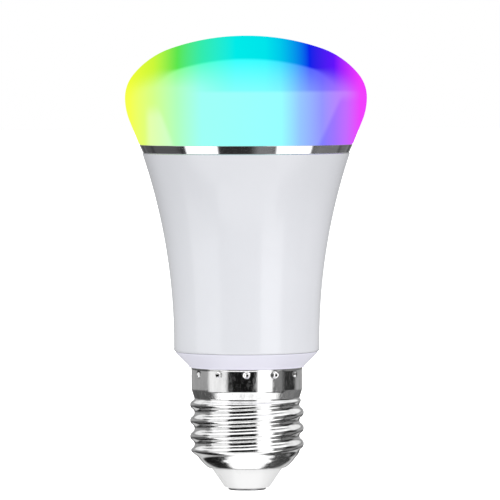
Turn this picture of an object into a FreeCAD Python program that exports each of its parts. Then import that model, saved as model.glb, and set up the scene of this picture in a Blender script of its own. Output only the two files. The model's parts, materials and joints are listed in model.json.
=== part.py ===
"""A smart colour light bulb with an E27 screw cap, as a parametric assembly.

The frame: millimetres, +Z up along the bulb's axis, origin at the middle of the centre contact's
flat face. The cap is at the bottom and the diffuser dome at the top.

From the bottom up the pieces are the cap (contact, insulator, screw shell), the driver case whose
cone shows as a collar above the cap, the housing shell with the heat sink inside it, the metal trim
ring, and the diffuser dome over the LED board. The driver board stands upright in the driver case,
and the radio board stands through a slot in the LED board so that its antenna is under the dome.
"""

import FreeCAD, Part
import math
import os
import re

import Sketcher

Vector = FreeCAD.Vector
doc = FreeCAD.newDocument("SmartBulb")

# ---------------------------------------------------------------------------------------------
# Driving dimensions: alias, value in millimetres or degrees, what it is
# ---------------------------------------------------------------------------------------------

SIZES = [
    # levels along the axis
    ("bulb_height", 104.5, "centre contact to the top of the dome"),
    ("cap_top", 28.3, "top edge of the screw shell"),
    ("collar_top", 31.85, "seam between the collar and the housing"),
    ("housing_top", 77.5, "seam between the housing and the trim ring"),
    ("trim_top", 79.6, "seam between the trim ring and the dome"),
    ("seam_gap", 0.05, "clearance between stacked pieces"),
    ("fit", 0.03, "clearance round a filling or a winding"),
    ("play", 0.1, "clearance of a sliding fit"),
    ("break_out", 1.0, "how far a through cut runs past the far side"),
    # diffuser dome: four tangent arcs and a straight flank, from the top down
    ("crown_radius", 53.2, "arc across the top of the dome"),
    ("crown_turn", 19.0, "angle that the crown arc covers from the axis"),
    ("shoulder_radius", 19.1, "arc between crown and rim"),
    ("rim_start", 51.0, "angle from the axis where the rim arc starts"),
    ("rim_radius", 8.4, "arc at the widest part, above its level"),
    ("flank_radius", 14.0, "arc at the widest part, below its level"),
    ("flank_turn", 22.0, "lean of the straight flank from the axis"),
    ("dome_wall", 1.5, "moulded wall of the dome"),
    ("spigot_radius", 22.2, "outside of the spigot that enters the housing"),
    ("spigot_wall", 1.1, "wall of the spigot"),
    ("spigot_bottom", 76.4, "lower end of the spigot"),
    ("snap_reach", 0.3, "how far a snap tab stands out of the spigot"),
    ("snap_width", 6.0, "width of a snap tab"),
    ("snap_height", 0.5, "height of a snap tab"),
    ("snap_level", 76.45, "lower side of a snap tab"),
    ("snap_count", 4, "snap tabs round the spigot"),
    # trim ring
    ("trim_bore", 22.35, "inside of the trim ring"),
    ("trim_high_radius", 24.58, "outside of the trim ring at its upper edge"),
    ("trim_edge", 0.18, "rounding of the trim ring's outer edges"),
    # housing shell: straight at the waist, then one long concave flare
    ("waist_radius", 16.76, "outside of the housing at its narrow end"),
    ("flare_radius", 135.8, "arc of the flare"),
    ("flare_start", 34.1, "level where the flare leaves the waist"),
    ("housing_wall", 1.5, "wall of the housing"),
    ("housing_edge", 0.55, "rounding of the housing's lower edge"),
    ("lip_radius", 14.9, "inside of the housing's lower lip"),
    ("lip_height", 1.2, "height of the lower lip"),
    ("seat_level", 75.3, "ledge under the dome's spigot"),
    ("seat_radius", 22.4, "bore above the ledge"),
    ("snap_groove_radius", 22.8, "groove that the snap tabs click into"),
    ("snap_groove_low", 76.3, "lower side of the groove"),
    ("snap_groove_high", 77.05, "upper side of the groove"),
    # heat sink: a thin spun cup, closed by a deck that carries the LED board
    ("sink_gap", 0.1, "between housing and heat sink"),
    ("sink_wall", 0.9, "wall of the heat sink"),
    ("sink_bottom", 34.2, "lower edge of the heat sink"),
    ("deck_top", 75.1, "top of the deck"),
    ("deck_thickness", 1.1, "thickness of the deck"),
    ("deck_slot_x", 9.5, "half length of the deck's opening"),
    ("deck_slot_back", -8.5, "back edge of the opening"),
    ("deck_slot_front", 1.5, "front edge of the opening"),
    # driver case: neck in the cap, cone, and tube round the driver board
    ("neck_bottom", 14.0, "lower end of the neck"),
    ("neck_radius", 11.4, "neck inside the thread"),
    ("neck_bore", 10.3, "bore of the neck"),
    ("neck_step_low", 22.4, "where the neck starts to widen"),
    ("neck_step_high", 23.2, "where the neck fills the plain barrel"),
    ("barrel_fit_radius", 12.25, "neck inside the plain barrel"),
    ("crimp_groove_radius", 11.3, "floor of the groove under the crimps"),
    ("crimp_groove_low", 25.6, "lower edge of that groove"),
    ("crimp_groove_high", 28.1, "upper edge of that groove"),
    ("crimp_groove_floor", 0.5, "rise of each groove wall"),
    ("collar_low_radius", 13.3, "small end of the cone"),
    ("collar_high_radius", 16.3, "large end of the cone"),
    ("collar_rim", 0.25, "straight rim at both ends of the cone"),
    ("case_radius", 13.9, "outside of the tube"),
    ("case_bore", 12.9, "bore of the tube"),
    ("case_top", 66.0, "upper end of the tube"),
    ("case_floor", 33.0, "level where the bore reaches the tube's width"),
    ("neck_bore_top", 28.5, "level where the neck's bore starts to widen"),
    ("rail_bottom", 34.0, "lower end of the board rails"),
    ("rail_length", 30.0, "length of the board rails"),
    ("rail_width", 1.2, "width of a rail"),
    ("rail_inner", 10.6, "inner edge of the rails, from the middle"),
    ("rail_front_reach", 13.0, "where a front rail ends inside the tube's wall"),
    ("rail_back_reach", 12.3, "where a back rail ends inside the tube's wall"),
    ("lead_groove_width", 1.0, "groove for the neutral lead on the neck"),
    ("lead_groove_floor", 11.0, "floor of that groove"),
    # screw shell: a thin drawn shell with a rolled knuckle thread
    ("shell_wall", 0.35, "sheet thickness"),
    ("barrel_radius", 12.75, "outside of the plain barrel"),
    ("thread_radius", 13.1, "crest of the thread"),
    ("thread_depth", 1.0, "crest to root"),
    ("thread_pitch", 3.629, "seven turns to the inch"),
    ("thread_phase", 17.8, "height of a crest on the +X side"),
    ("crest_high", 20.2, "full crests below this level"),
    ("crest_runout", 21.2, "only the root is left above this level"),
    ("thread_high", 21.2, "the root starts to rise to the barrel"),
    ("thread_runout", 23.2, "plain barrel above this level"),
    ("thread_low", 9.6, "full thread above this level"),
    ("thread_start", 7.4, "plain shoulder below this level"),
    ("shoulder_arc_radius", 10.0, "arc of the shoulder under the thread"),
    ("shoulder_centre_radius", 2.95, "centre of that arc, from the axis"),
    ("shoulder_centre_level", 13.14, "centre of that arc, level"),
    ("shell_bottom", 5.2, "lower edge of the shell"),
    ("crimp_level", 27.0, "level of the crimp points"),
    ("crimp_count", 12, "crimp points round the barrel"),
    ("crimp_mouth", 0.85, "radius of a crimp point at the surface"),
    ("crimp_tip", 0.22, "radius of a crimp point at its bottom"),
    ("crimp_depth", 0.55, "depth of a crimp point"),
    ("crimp_skin", 0.15, "how much wider the bump behind a crimp point is"),
    ("crimp_lead", 0.15, "how far outside the barrel the punch's cone starts"),
    # cap insulator and centre contact
    ("insulator_bottom", 0.45, "lower face of the insulator"),
    ("insulator_low_radius", 4.6, "lower face of the insulator"),
    ("insulator_round", 1.2, "arc from the lower face to the cone"),
    ("insulator_knee_radius", 5.4, "where the cone starts"),
    ("insulator_knee_level", 0.95, "where the cone starts"),
    ("insulator_cone_radius", 8.2, "large end of the cone"),
    ("insulator_cone_level", 5.05, "large end of the cone"),
    ("insulator_neck_radius", 8.6, "where it passes the shell's lower edge"),
    ("insulator_neck_level", 5.3, "start of the inner flange"),
    ("insulator_seat_radius", 9.95, "flange where it meets the shoulder"),
    ("insulator_seat_level", 6.45, "flange where it meets the shoulder"),
    ("insulator_flange_radius", 10.3, "largest radius of the flange"),
    ("insulator_flange_level", 7.2, "level of that radius"),
    ("insulator_top", 8.2, "upper face of the insulator"),
    ("contact_radius", 4.35, "head of the centre contact"),
    ("contact_edge", 0.35, "rounding of the head"),
    ("contact_head", 0.4, "thickness of the head"),
    ("shank_radius", 1.5, "shank pressed into the insulator"),
    ("shank_bore", 0.45, "hole in the shank for the live lead"),
    ("shank_bore_bottom", 5.0, "bottom of that hole"),
    ("shank_fit", 0.05, "clearance round the shank"),
    # LED board and what is on it
    ("pad_thickness", 0.2, "thermal pad"),
    ("pad_radius", 20.0, "thermal pad"),
    ("led_board_radius", 20.4, "LED board"),
    ("led_board_thickness", 1.0, "LED board"),
    ("radio_slot_x", 8.4, "half length of the slot for the radio board"),
    ("radio_slot_back", -1.8, "back edge of the slot"),
    ("radio_slot_front", -0.2, "front edge of the slot"),
    ("pin_slot_x", 5.0, "half length of the slot for the header pins"),
    ("pin_slot_half", 0.6, "half width of that slot"),
    ("screw_ring", 17.3, "pitch circle radius of the board screws"),
    ("screw_count", 3, "board screws"),
    ("screw_hole", 1.35, "hole in board and pad"),
    ("screw_tap", 1.25, "hole in the deck"),
    ("screw_shank", 1.2, "screw shank radius"),
    ("screw_length", 5.0, "screw shank length"),
    ("screw_head", 2.2, "screw head radius"),
    ("screw_head_height", 1.3, "screw head height"),
    ("screw_recess_depth", 0.7, "cross recess depth"),
    ("screw_recess_half", 1.2, "cross recess half length"),
    ("screw_recess_width", 0.25, "cross recess half width"),
    ("white_ring", 17.0, "pitch circle radius of the white LEDs"),
    ("white_count", 12, "white LEDs"),
    ("white_length", 3.5, "white LED, along the circle"),
    ("white_width", 2.8, "white LED, across the circle"),
    ("white_height", 0.7, "white LED height"),
    ("white_wall", 0.35, "rim round the phosphor"),
    ("white_turn", 15.0, "first white LED, round from +X"),
    ("white_cup", 0.4, "depth of the phosphor cup"),
    ("colour_ring", 11.5, "pitch circle radius of the colour LEDs"),
    ("colour_count", 6, "colour LEDs"),
    ("colour_side", 5.0, "colour LED, both ways"),
    ("colour_height", 1.5, "colour LED height"),
    ("colour_lens", 2.0, "radius of its lens"),
    ("colour_cup", 0.6, "depth of its lens cup"),
    ("sealant_low", 75.35, "lower side of the sealant bead"),
    ("sealant_inner", 20.95, "inside of the sealant bead"),
    ("sealant_outer", 22.3, "outside of the sealant bead"),
    # driver board
    ("board_back", -4.6, "back face of the driver board"),
    ("board_thickness", 1.2, "thickness of the driver board"),
    ("board_half", 11.8, "half width in the tube"),
    ("board_foot_half", 8.0, "half width in the neck"),
    ("board_bottom", 22.0, "lower edge"),
    ("board_waist", 34.3, "where it narrows"),
    ("board_top", 65.8, "upper edge"),
    # radio board
    ("radio_back", -1.4, "back face of the radio board"),
    ("radio_thickness", 0.8, "thickness"),
    ("radio_half", 8.0, "half width"),
    ("radio_bottom", 61.0, "lower edge"),
    ("radio_top", 86.0, "upper edge"),
    # the antenna and the pins of the radio board
    ("antenna_left", -6.0, "left edge of the antenna"),
    ("antenna_low", 79.2, "lower edge of the antenna"),
    ("antenna_turns", 6, "upright bars"),
    ("antenna_pitch", 2.2, "from bar to bar"),
    ("antenna_length", 5.0, "length of a bar"),
    ("antenna_track", 0.5, "width of the track"),
    ("antenna_foil", 0.05, "thickness of the foil"),
    ("antenna_feed", 2.2, "length of the feed"),
    ("radio_pin_count", 5, "pins to the driver board"),
    ("radio_pin_pitch", 3.0, "from pin to pin"),
    ("radio_pin_level", 62.3, "lower side of the pins"),
    ("pin_side", 0.5, "side of a square pin"),
    # header between driver board and LED board
    ("header_pitch", 2.0, "pin pitch"),
    ("header_count", 5, "pins"),
    ("header_line", -6.5, "line of the pins"),
    ("header_bottom", 59.5, "lower side of the header block"),
    ("header_height", 5.0, "height of the header block"),
    ("header_half", 5.2, "half length of the header block"),
    ("header_back", 1.25, "header block behind the line of the pins"),
    ("header_foot", 1.1, "bent foot of a pin, below the block"),
    ("pin_proud", 0.8, "how far the pins stand out of the LED board"),
    # transformer
    ("leg_x", -3.0, "middle of the transformer"),
    ("leg_y", 0.1, "middle of the transformer, front to back"),
    ("leg_wide", 3.2, "middle leg of the core"),
    ("core_wide", 12.4, "width of the core"),
    ("core_deep", 4.0, "depth of the core"),
    ("core_low", 42.0, "lower side of the core"),
    ("core_tall", 12.4, "height of the core"),
    ("core_bar", 2.0, "bars above and below the windows"),
    ("window_wide", 2.6, "width of a window"),
    ("hub_radius", 2.8, "hub of the bobbin"),
    ("flange_radius", 3.5, "flanges of the bobbin"),
    ("flange_thick", 0.8, "thickness of a flange"),
    ("foot_wide", 5.0, "width of the bobbin's feet"),
    # electrolytic capacitors
    ("input_cap_x", 7.3, "middle of the input capacitor"),
    ("input_cap_y", 2.2, "middle of the input capacitor, front to back"),
    ("input_cap_low", 38.5, "its lower end"),
    ("input_cap_radius", 4.0, "its radius"),
    ("input_cap_length", 12.5, "its length"),
    ("output_cap_x", 5.2, "middle of the output capacitor"),
    ("output_cap_y", 4.6, "middle of the output capacitor, front to back"),
    ("output_cap_low", 55.0, "its lower end"),
    ("output_cap_radius", 3.15, "its radius"),
    ("output_cap_length", 10.0, "its length"),
    ("cap_skin", 0.1, "thickness of the printed sleeve"),
    ("cap_margin", 0.3, "bare can at each end"),
    ("cap_lead_pitch", 2.4, "between the two leads"),
    ("cap_stand_off", 1.5, "leads below the can"),
    # choke, fuse resistor, varistor
    ("choke_x", -6.0, "middle of the choke"),
    ("choke_low", 32.6, "lower end of the choke"),
    ("choke_length", 7.4, "length of the choke"),
    ("choke_flange", 3.4, "radius of its flanges"),
    ("choke_edge", 1.0, "thickness of its flanges"),
    ("choke_post", 1.6, "radius of its post"),
    ("choke_winding_radius", 3.0, "outside of its winding"),
    ("fuse_level", 30.4, "axis of the fuse resistor"),
    ("fuse_y", -1.6, "axis of the fuse resistor, front to back"),
    ("fuse_radius", 1.5, "its radius"),
    ("fuse_length", 8.0, "its length"),
    ("fuse_lead", 1.8, "straight run of its leads"),
    ("varistor_x", 0.0, "middle of the varistor"),
    ("varistor_level", 25.0, "axis of the varistor"),
    ("varistor_radius", 2.7, "its radius"),
    ("varistor_thick", 2.6, "its thickness"),
    # leads
    ("lead_core", 0.3, "radius of a lead's conductor"),
    ("lead_sleeve", 0.65, "radius of a lead's insulation"),
    ("lead_bend", 1.2, "bend radius of a lead"),
    ("solder_x", 4.3, "solder points of the leads, from the middle"),
    ("solder_low", 21.6, "where a lead meets the board"),
    ("solder_high", 24.4, "where a lead ends"),
]

# Flat parts on the boards: name, middle x, middle level, width, height, depth off the board
FLAT_PARTS = [
    ("radio_chip", 1.3, 69.0, 5.0, 5.0, 0.9),
    ("radio_memory", -4.8, 69.2, 4.0, 4.6, 1.4),
    ("radio_crystal", 5.9, 69.6, 2.5, 3.2, 0.8),
    ("film_cap", 3.6, 34.5, 8.4, 4.0, 4.4),
    ("bridge_rectifier", 0.0, 38.0, 5.0, 4.0, 1.5),
    ("power_chip", -4.0, 46.0, 5.0, 4.0, 1.5),
    ("dimmer_chip", 0.0, 54.0, 9.8, 3.9, 1.5),
    ("output_diode", 5.2, 46.0, 2.6, 4.4, 2.1),
    ("resistor", 0.0, 0.0, 1.25, 2.0, 0.5),
    ("ceramic", 0.0, 0.0, 1.6, 3.2, 1.2),
]

# Middles of the small parts on the back of the driver board
RESISTOR_PLACES = [(x, level) for level in (42.0, 50.2) for x in (-8.0, -4.8, -1.6, 1.6, 4.8, 8.0)]
CERAMIC_PLACES = [(x, level) for x in (-9.1, 9.1) for level in (46.0, 55.0)]
CERAMIC_PLACES += [(-5.6, 37.0), (5.6, 37.0)]

for name, *values in FLAT_PARTS:
    for suffix, value in zip(("x", "level", "wide", "tall", "deep"), values):
        SIZES.append((f"{name}_{suffix}", value, f"{name}: {suffix}"))

sheet = doc.addObject("Spreadsheet::Sheet", "Dimensions")
for row, (alias, size, meaning) in enumerate(SIZES, start=1):
    sheet.set(f"A{row}", meaning)
    sheet.set(f"B{row}", str(size))
    sheet.setAlias(f"B{row}", alias)
doc.recompute()

ALIASES = {alias for alias, _, _ in SIZES}
pieces = []


def bound(expression):
    """The expression with each alias given its sheet's name, as FreeCAD wants it."""
    def named(match):
        return f"Dimensions.{match.group()}" if match.group() in ALIASES else match.group()

    return re.sub(r"[a-z]\w*", named, str(expression))


def number(expression):
    """What an expression of aliases comes to."""
    return float(sheet.evalExpression(bound(expression)))


# ---------------------------------------------------------------------------------------------
# Sketch helpers
# ---------------------------------------------------------------------------------------------


def body(label):
    made = doc.addObject("PartDesign::Body", label)
    made.Label = label
    made.AllowCompound = True
    pieces.append(made)
    return made


def sketch_on(owner, role, name, level=None):
    """A sketch on one of the body's own origin planes, raised by the expression level."""
    made = owner.newObject("Sketcher::SketchObject", name)
    plane = next(f for f in owner.Origin.OriginFeatures if f.Role == role)
    made.AttachmentSupport = [(plane, "")]
    made.MapMode = "FlatFace"
    if level is not None:
        made.setExpression("AttachmentOffset.Base.z", bound(level))
    return made


def tie(sketch, geometry, point, place):
    """Ties a point to the sketch's origin by two distances from the sheet."""
    for kind, expression in zip(("DistanceX", "DistanceY"), place):
        index = sketch.addConstraint(
            Sketcher.Constraint(kind, -1, 1, geometry, point, number(expression))
        )
        sketch.setExpression(f"Constraints[{index}]", bound(expression))


def arc_between(start, end, radius, side):
    """The short arc from start to end whose centre is on the left (side 1) or right (side -1)."""
    chord = end - start
    reach = math.sqrt(max(radius**2 - (chord.Length / 2) ** 2, 0.0))
    across = Vector(-chord.y, chord.x, 0).normalize() * side
    centre = (start + end) / 2 + across * reach
    first, last = (start, end) if side > 0 else (end, start)
    angles = [math.atan2(p.y - centre.y, p.x - centre.x) for p in (first, last)]
    circle = Part.Circle(centre, Vector(0, 0, 1), radius)
    return Part.ArcOfCircle(circle, *angles)


def outline(sketch, corners):
    """A closed outline. A corner is (x, y), or (x, y, radius, side) where an arc leads to the next."""
    count = len(corners)
    ends = []
    for i, corner in enumerate(corners):
        start, end = (
            Vector(number(c[0]), number(c[1]), 0) for c in (corner, corners[(i + 1) % count])
        )
        if len(corner) == 2:
            index = sketch.addGeometry(Part.LineSegment(start, end))
            ends.append((index, 1, 2))
            continue
        _, _, radius, side = corner
        index = sketch.addGeometry(arc_between(start, end, number(radius), side))
        ends.append((index, 1, 2) if side > 0 else (index, 2, 1))
        rule = sketch.addConstraint(Sketcher.Constraint("Radius", index, number(radius)))
        sketch.setExpression(f"Constraints[{rule}]", bound(radius))
    for i, (index, first, last) in enumerate(ends):
        following = ends[(i + 1) % count]
        sketch.addConstraint(
            Sketcher.Constraint("Coincident", index, last, following[0], following[1])
        )
        tie(sketch, index, first, corners[i][:2])


def rectangle(sketch, low_x, low_y, high_x, high_y):
    outline(sketch, [(low_x, low_y), (high_x, low_y), (high_x, high_y), (low_x, high_y)])


def circle(sketch, x, y, radius):
    centre = Vector(number(x), number(y), 0)
    index = sketch.addGeometry(Part.Circle(centre, Vector(0, 0, 1), number(radius)))
    rule = sketch.addConstraint(Sketcher.Constraint("Radius", index, number(radius)))
    sketch.setExpression(f"Constraints[{rule}]", bound(radius))
    tie(sketch, index, 3, (x, y))


# ---------------------------------------------------------------------------------------------
# Feature helpers
# ---------------------------------------------------------------------------------------------


def turned(owner, name, corners, kind="Revolution"):
    """Revolves an outline of (radius, height) corners about the axis, as a solid or a groove."""
    sketch = sketch_on(owner, "XZ_Plane", name + "Sketch")
    outline(sketch, corners)
    feature = owner.newObject("PartDesign::" + kind, name)
    feature.Profile = sketch
    feature.ReferenceAxis = (sketch, ["V_Axis"])
    feature.Angle = 360
    return feature


def raised(owner, name, draw, level, length):
    """Pads what draw() puts in a level sketch, upwards by length."""
    sketch = sketch_on(owner, "XY_Plane", name + "Sketch", level)
    draw(sketch)
    feature = owner.newObject("PartDesign::Pad", name)
    feature.Profile = sketch
    feature.setExpression("Length", bound(length))
    return feature


def sunk(owner, name, draw, level, depth):
    """Pockets what draw() puts in a level sketch, downwards by depth."""
    sketch = sketch_on(owner, "XY_Plane", name + "Sketch", level)
    draw(sketch)
    doc.recompute()
    before = owner.Shape.Volume
    feature = owner.newObject("PartDesign::Pocket", name)
    feature.Profile = sketch
    feature.setExpression("Length", bound(depth))
    doc.recompute()
    if owner.Shape.Volume >= before:
        raise ValueError(f"{name} cuts nothing out of {owner.Label}")
    return feature


def repeated(owner, name, originals, count):
    """A polar pattern of features round the axis."""
    pattern = owner.newObject("PartDesign::PolarPattern", name)
    pattern.Originals = originals
    pattern.Axis = (originals[0].Profile[0], ["N_Axis"])
    pattern.Angle = 360
    pattern.setExpression("Occurrences", bound(count))
    owner.Tip = pattern
    return pattern


def block(label, low, size):
    """A Part::Box between expressions; low is its lowest corner."""
    made = doc.addObject("Part::Box", label)
    made.Label = label
    for side, expression in zip(("Length", "Width", "Height"), size):
        made.setExpression(side, bound(expression))
    for axis, expression in zip("xyz", low):
        made.setExpression(f".Placement.Base.{axis}", bound(expression))
    return made


def rod(label, radius, length, base, direction=Vector(0, 0, 1)):
    """A Part::Cylinder from base along direction."""
    made = doc.addObject("Part::Cylinder", label)
    made.Label = label
    made.Placement = FreeCAD.Placement(Vector(), FreeCAD.Rotation(Vector(0, 0, 1), direction))
    made.setExpression("Radius", bound(radius))
    made.setExpression("Height", bound(length))
    for axis, expression in zip("xyz", base):
        made.setExpression(f".Placement.Base.{axis}", bound(expression))
    return made


def cut(label, base, tool):
    made = doc.addObject("Part::Cut", label)
    made.Label = label
    made.Base = base
    made.Tool = tool
    return made


def fused(label, parts):
    made = doc.addObject("Part::MultiFuse", label)
    made.Label = label
    made.Shapes = parts
    return made


def grouped(label, parts):
    """Separate solids under one name."""
    made = doc.addObject("Part::Compound", label)
    made.Label = label
    made.Links = parts
    return made


def piece(made):
    pieces.append(made)
    return made


# ---------------------------------------------------------------------------------------------
# Cap
# ---------------------------------------------------------------------------------------------


def centre_contact():
    """A nail-shaped contact: a flat head and a shank that is drilled for the live lead."""
    contact = body("centre_contact")
    turned(
        contact,
        "ContactNail",
        [
            (0, 0),
            ("contact_radius - contact_edge", 0, "contact_edge", 1),
            ("contact_radius", "contact_edge"),
            ("contact_radius", "contact_head"),
            ("shank_radius", "contact_head"),
            ("shank_radius", "insulator_top"),
            ("shank_bore", "insulator_top"),
            ("shank_bore", "shank_bore_bottom"),
            (0, "shank_bore_bottom"),
        ],
    )


def cap_insulator():
    """The white cone under the shell, with a flange that sits on the shell's shoulder."""
    insulator = body("cap_insulator")
    turned(
        insulator,
        "InsulatorCone",
        [
            ("shank_radius + shank_fit", "insulator_bottom"),
            ("insulator_low_radius", "insulator_bottom", "insulator_round", 1),
            ("insulator_knee_radius", "insulator_knee_level"),
            ("insulator_cone_radius", "insulator_cone_level"),
            ("insulator_neck_radius", "insulator_neck_level"),
            ("insulator_seat_radius", "insulator_seat_level"),
            ("insulator_flange_radius", "insulator_flange_level"),
            ("insulator_flange_radius", "insulator_top"),
            ("shank_radius + shank_fit", "insulator_top"),
        ],
    )


def smooth_step(value, low, high):
    """0 below low, 1 above high, and a smooth ramp between them."""
    share = min(max((value - low) / (high - low), 0.0), 1.0)
    return share * share * (3 - 2 * share)


def knuckle(angle, level):
    """Radius of the rolled thread: equal tangent arcs at crest and root, on a right-hand helix."""
    pitch = number("thread_pitch")
    depth = number("thread_depth")
    crest = number("thread_radius")
    along = (level - number("thread_phase") - pitch * angle / (2 * math.pi)) % pitch
    from_crest = min(along, pitch - along)
    arc = ((pitch / 4) ** 2 + (depth / 2) ** 2) / depth
    if from_crest < pitch / 4:
        return crest - arc + math.sqrt(arc**2 - from_crest**2)
    return crest - depth + arc - math.sqrt(arc**2 - (pitch / 2 - from_crest) ** 2)


def shell_radius(angle, level):
    """Outside radius of the screw shell: shoulder, thread and plain barrel, run into each other."""
    rise = max(number("shoulder_centre_level") - level, 0.0)
    shoulder = number("shoulder_centre_radius") + math.sqrt(
        number("shoulder_arc_radius") ** 2 - rise**2
    )
    root = number("thread_radius") - number("thread_depth")
    shoulder = min(shoulder, root)
    barrel = number("barrel_radius")
    thread = knuckle(angle, level)
    faded = smooth_step(level, number("crest_high"), number("crest_runout"))
    thread += (root - thread) * faded
    threaded = smooth_step(level, number("thread_start"), number("thread_low"))
    plain = smooth_step(level, number("thread_high"), number("thread_runout"))
    lower = shoulder + (thread - shoulder) * threaded
    return lower + (barrel - lower) * plain


def shell_skin(inset, levels, angles):
    """One skin of the shell: a surface through points on its formula, closed round the axis."""
    grid = []
    for angle in angles:
        line = []
        for level in levels:
            radius = shell_radius(angle, level) - inset
            line.append(Vector(radius * math.cos(angle), radius * math.sin(angle), level))
        grid.append(line)
    grid.append(list(grid[0]))
    surface = Part.BSplineSurface()
    surface.interpolate(grid)
    surface.setUPeriodic()
    return surface.toShape()


def rim_of(skin, level):
    """The closed edge of a skin that lies at a level."""
    for edge in skin.Edges:
        box = edge.BoundBox
        if abs(box.ZMin - level) < 0.01 and abs(box.ZMax - level) < 0.01:
            return edge
    raise ValueError(f"no rim at {level}")


def crimp(angle, mouth, tip, depth, start):
    """A cone that points at the axis from radius start."""
    out = Vector(math.cos(angle), math.sin(angle), 0)
    base = out * start + Vector(0, 0, number("crimp_level"))
    return Part.makeCone(mouth, tip, depth, base, out * -1)


def screw_shell():
    """The drawn shell: two skins, a rim at each end, and a ring of crimp points in the barrel."""
    bottom = number("shell_bottom")
    top = number("cap_top")
    steps_up = 100
    steps_round = 48
    levels = [bottom + (top - bottom) * i / steps_up for i in range(steps_up + 1)]
    count = int(number("crimp_count"))
    seam = math.pi / count
    angles = [seam + 2 * math.pi * i / steps_round for i in range(steps_round)]
    outside = shell_skin(0.0, levels, angles)
    inside = shell_skin(number("shell_wall"), levels, angles)
    rims = [
        Part.makeRuledSurface(rim_of(outside, level), rim_of(inside, level))
        for level in (bottom, top)
    ]
    skin = Part.Shell([outside, inside, *rims])
    solid = Part.makeSolid(skin)
    if solid.Volume < 0:
        solid.reverse()
    turns = [2 * math.pi * i / count - math.pi / 2 for i in range(count)]
    barrel = number("barrel_radius")
    wall = number("shell_wall")
    mouth, tip, depth = number("crimp_mouth"), number("crimp_tip"), number("crimp_depth")
    skin_wide, outset = number("crimp_skin"), number("crimp_lead")
    bumps = [
        crimp(turn, mouth + skin_wide, tip + skin_wide, depth, barrel - wall + outset)
        for turn in turns
    ]
    points = [crimp(turn, mouth, tip, depth + outset, barrel + outset) for turn in turns]
    shell = doc.addObject("Part::Feature", "screw_shell")
    shell.Label = "screw_shell"
    shell.Shape = solid.multiFuse(bumps).cut(Part.makeCompound(points))
    pieces.append(shell)


# ---------------------------------------------------------------------------------------------
# Driver case, housing, heat sink
# ---------------------------------------------------------------------------------------------


def driver_case():
    """Neck, visible cone and inner tube in one moulding, with rails for the driver board."""
    case = body("driver_case")
    turned(
        case,
        "CaseWall",
        [
            ("neck_bore", "neck_bottom"),
            ("neck_radius", "neck_bottom"),
            ("neck_radius", "neck_step_low"),
            ("barrel_fit_radius", "neck_step_high"),
            ("barrel_fit_radius", "crimp_groove_low"),
            ("crimp_groove_radius", "crimp_groove_low + crimp_groove_floor"),
            ("crimp_groove_radius", "crimp_groove_high - crimp_groove_floor"),
            ("barrel_fit_radius", "crimp_groove_high"),
            ("barrel_fit_radius", "cap_top + seam_gap"),
            ("collar_low_radius", "cap_top + seam_gap"),
            ("collar_low_radius", "cap_top + seam_gap + collar_rim"),
            ("collar_high_radius", "collar_top - collar_rim"),
            ("collar_high_radius", "collar_top"),
            ("case_radius", "collar_top"),
            ("case_radius", "case_top"),
            ("case_bore", "case_top"),
            ("case_bore", "case_floor"),
            ("neck_bore", "neck_bore_top"),
        ],
    )

    def rails(sketch):
        """Two pairs of rails, one each side, with the board's thickness between them."""
        front = "board_back + board_thickness + play"
        back = "board_back - play"
        for side in ("", "-"):
            for reach, low, high in (
                ("rail_front_reach", front, f"{front} + rail_width"),
                ("rail_back_reach", f"{back} - rail_width", back),
            ):
                rectangle(sketch, f"{side}rail_inner", low, f"{side}{reach}", high)

    raised(case, "BoardRails", rails, "rail_bottom", "rail_length")

    def groove(sketch):
        rectangle(
            sketch,
            "lead_groove_floor",
            "-lead_groove_width / 2",
            "neck_radius + break_out",
            "lead_groove_width / 2",
        )

    sunk(case, "LeadGroove", groove, "neck_step_low", "neck_step_low - neck_bottom")


def flare(level, inset):
    """Radius of the housing's flare at a level, inset inwards from its outside."""
    return (
        f"waist_radius + flare_radius - sqrt((flare_radius + {inset})^2"
        f" - ({level} - flare_start)^2)"
    )


def housing_shell():
    """The white flared skin: outer arc, wall, lower lip, and the seat for the dome's spigot."""
    housing = body("housing_shell")
    bottom = "collar_top + seam_gap"
    inner = "housing_wall"
    turned(
        housing,
        "HousingWall",
        [
            ("lip_radius", bottom),
            ("waist_radius - housing_edge", bottom, "housing_edge", 1),
            ("waist_radius", f"{bottom} + housing_edge"),
            ("waist_radius", "flare_start", "flare_radius", -1),
            (flare("housing_top", "0"), "housing_top"),
            ("seat_radius", "housing_top"),
            ("seat_radius", "snap_groove_high"),
            ("snap_groove_radius", "snap_groove_high"),
            ("snap_groove_radius", "snap_groove_low"),
            ("seat_radius", "snap_groove_low"),
            ("seat_radius", "seat_level"),
            (flare("seat_level", inner), "seat_level", "flare_radius + housing_wall", 1),
            ("waist_radius - housing_wall", "flare_start"),
            ("waist_radius - housing_wall", f"{bottom} + lip_height"),
            ("lip_radius", f"{bottom} + lip_height"),
        ],
    )


def heat_sink():
    """The spun cup that backs the housing all the way up, and the deck across its top."""
    sink = body("heat_sink")
    outer = "housing_wall + sink_gap"
    inner = "housing_wall + sink_gap + sink_wall"
    under = "deck_top - deck_thickness"
    turned(
        sink,
        "SinkCup",
        [
            (flare("sink_bottom", inner), "sink_bottom"),
            (flare("sink_bottom", outer), "sink_bottom", f"flare_radius + {outer}", -1),
            (flare("deck_top", outer), "deck_top"),
            (0, "deck_top"),
            (0, under),
            (flare(under, inner), under, f"flare_radius + {inner}", 1),
        ],
    )

    def opening(sketch):
        rectangle(sketch, "-deck_slot_x", "deck_slot_back", "deck_slot_x", "deck_slot_front")

    sunk(sink, "DeckOpening", opening, "deck_top", "deck_thickness + break_out")

    def tapped(sketch):
        circle(sketch, 0, "screw_ring", "screw_tap")

    hole = sunk(sink, "DeckHole", tapped, "deck_top", "deck_thickness + break_out")
    repeated(sink, "DeckHoles", [hole], "screw_count")


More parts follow.
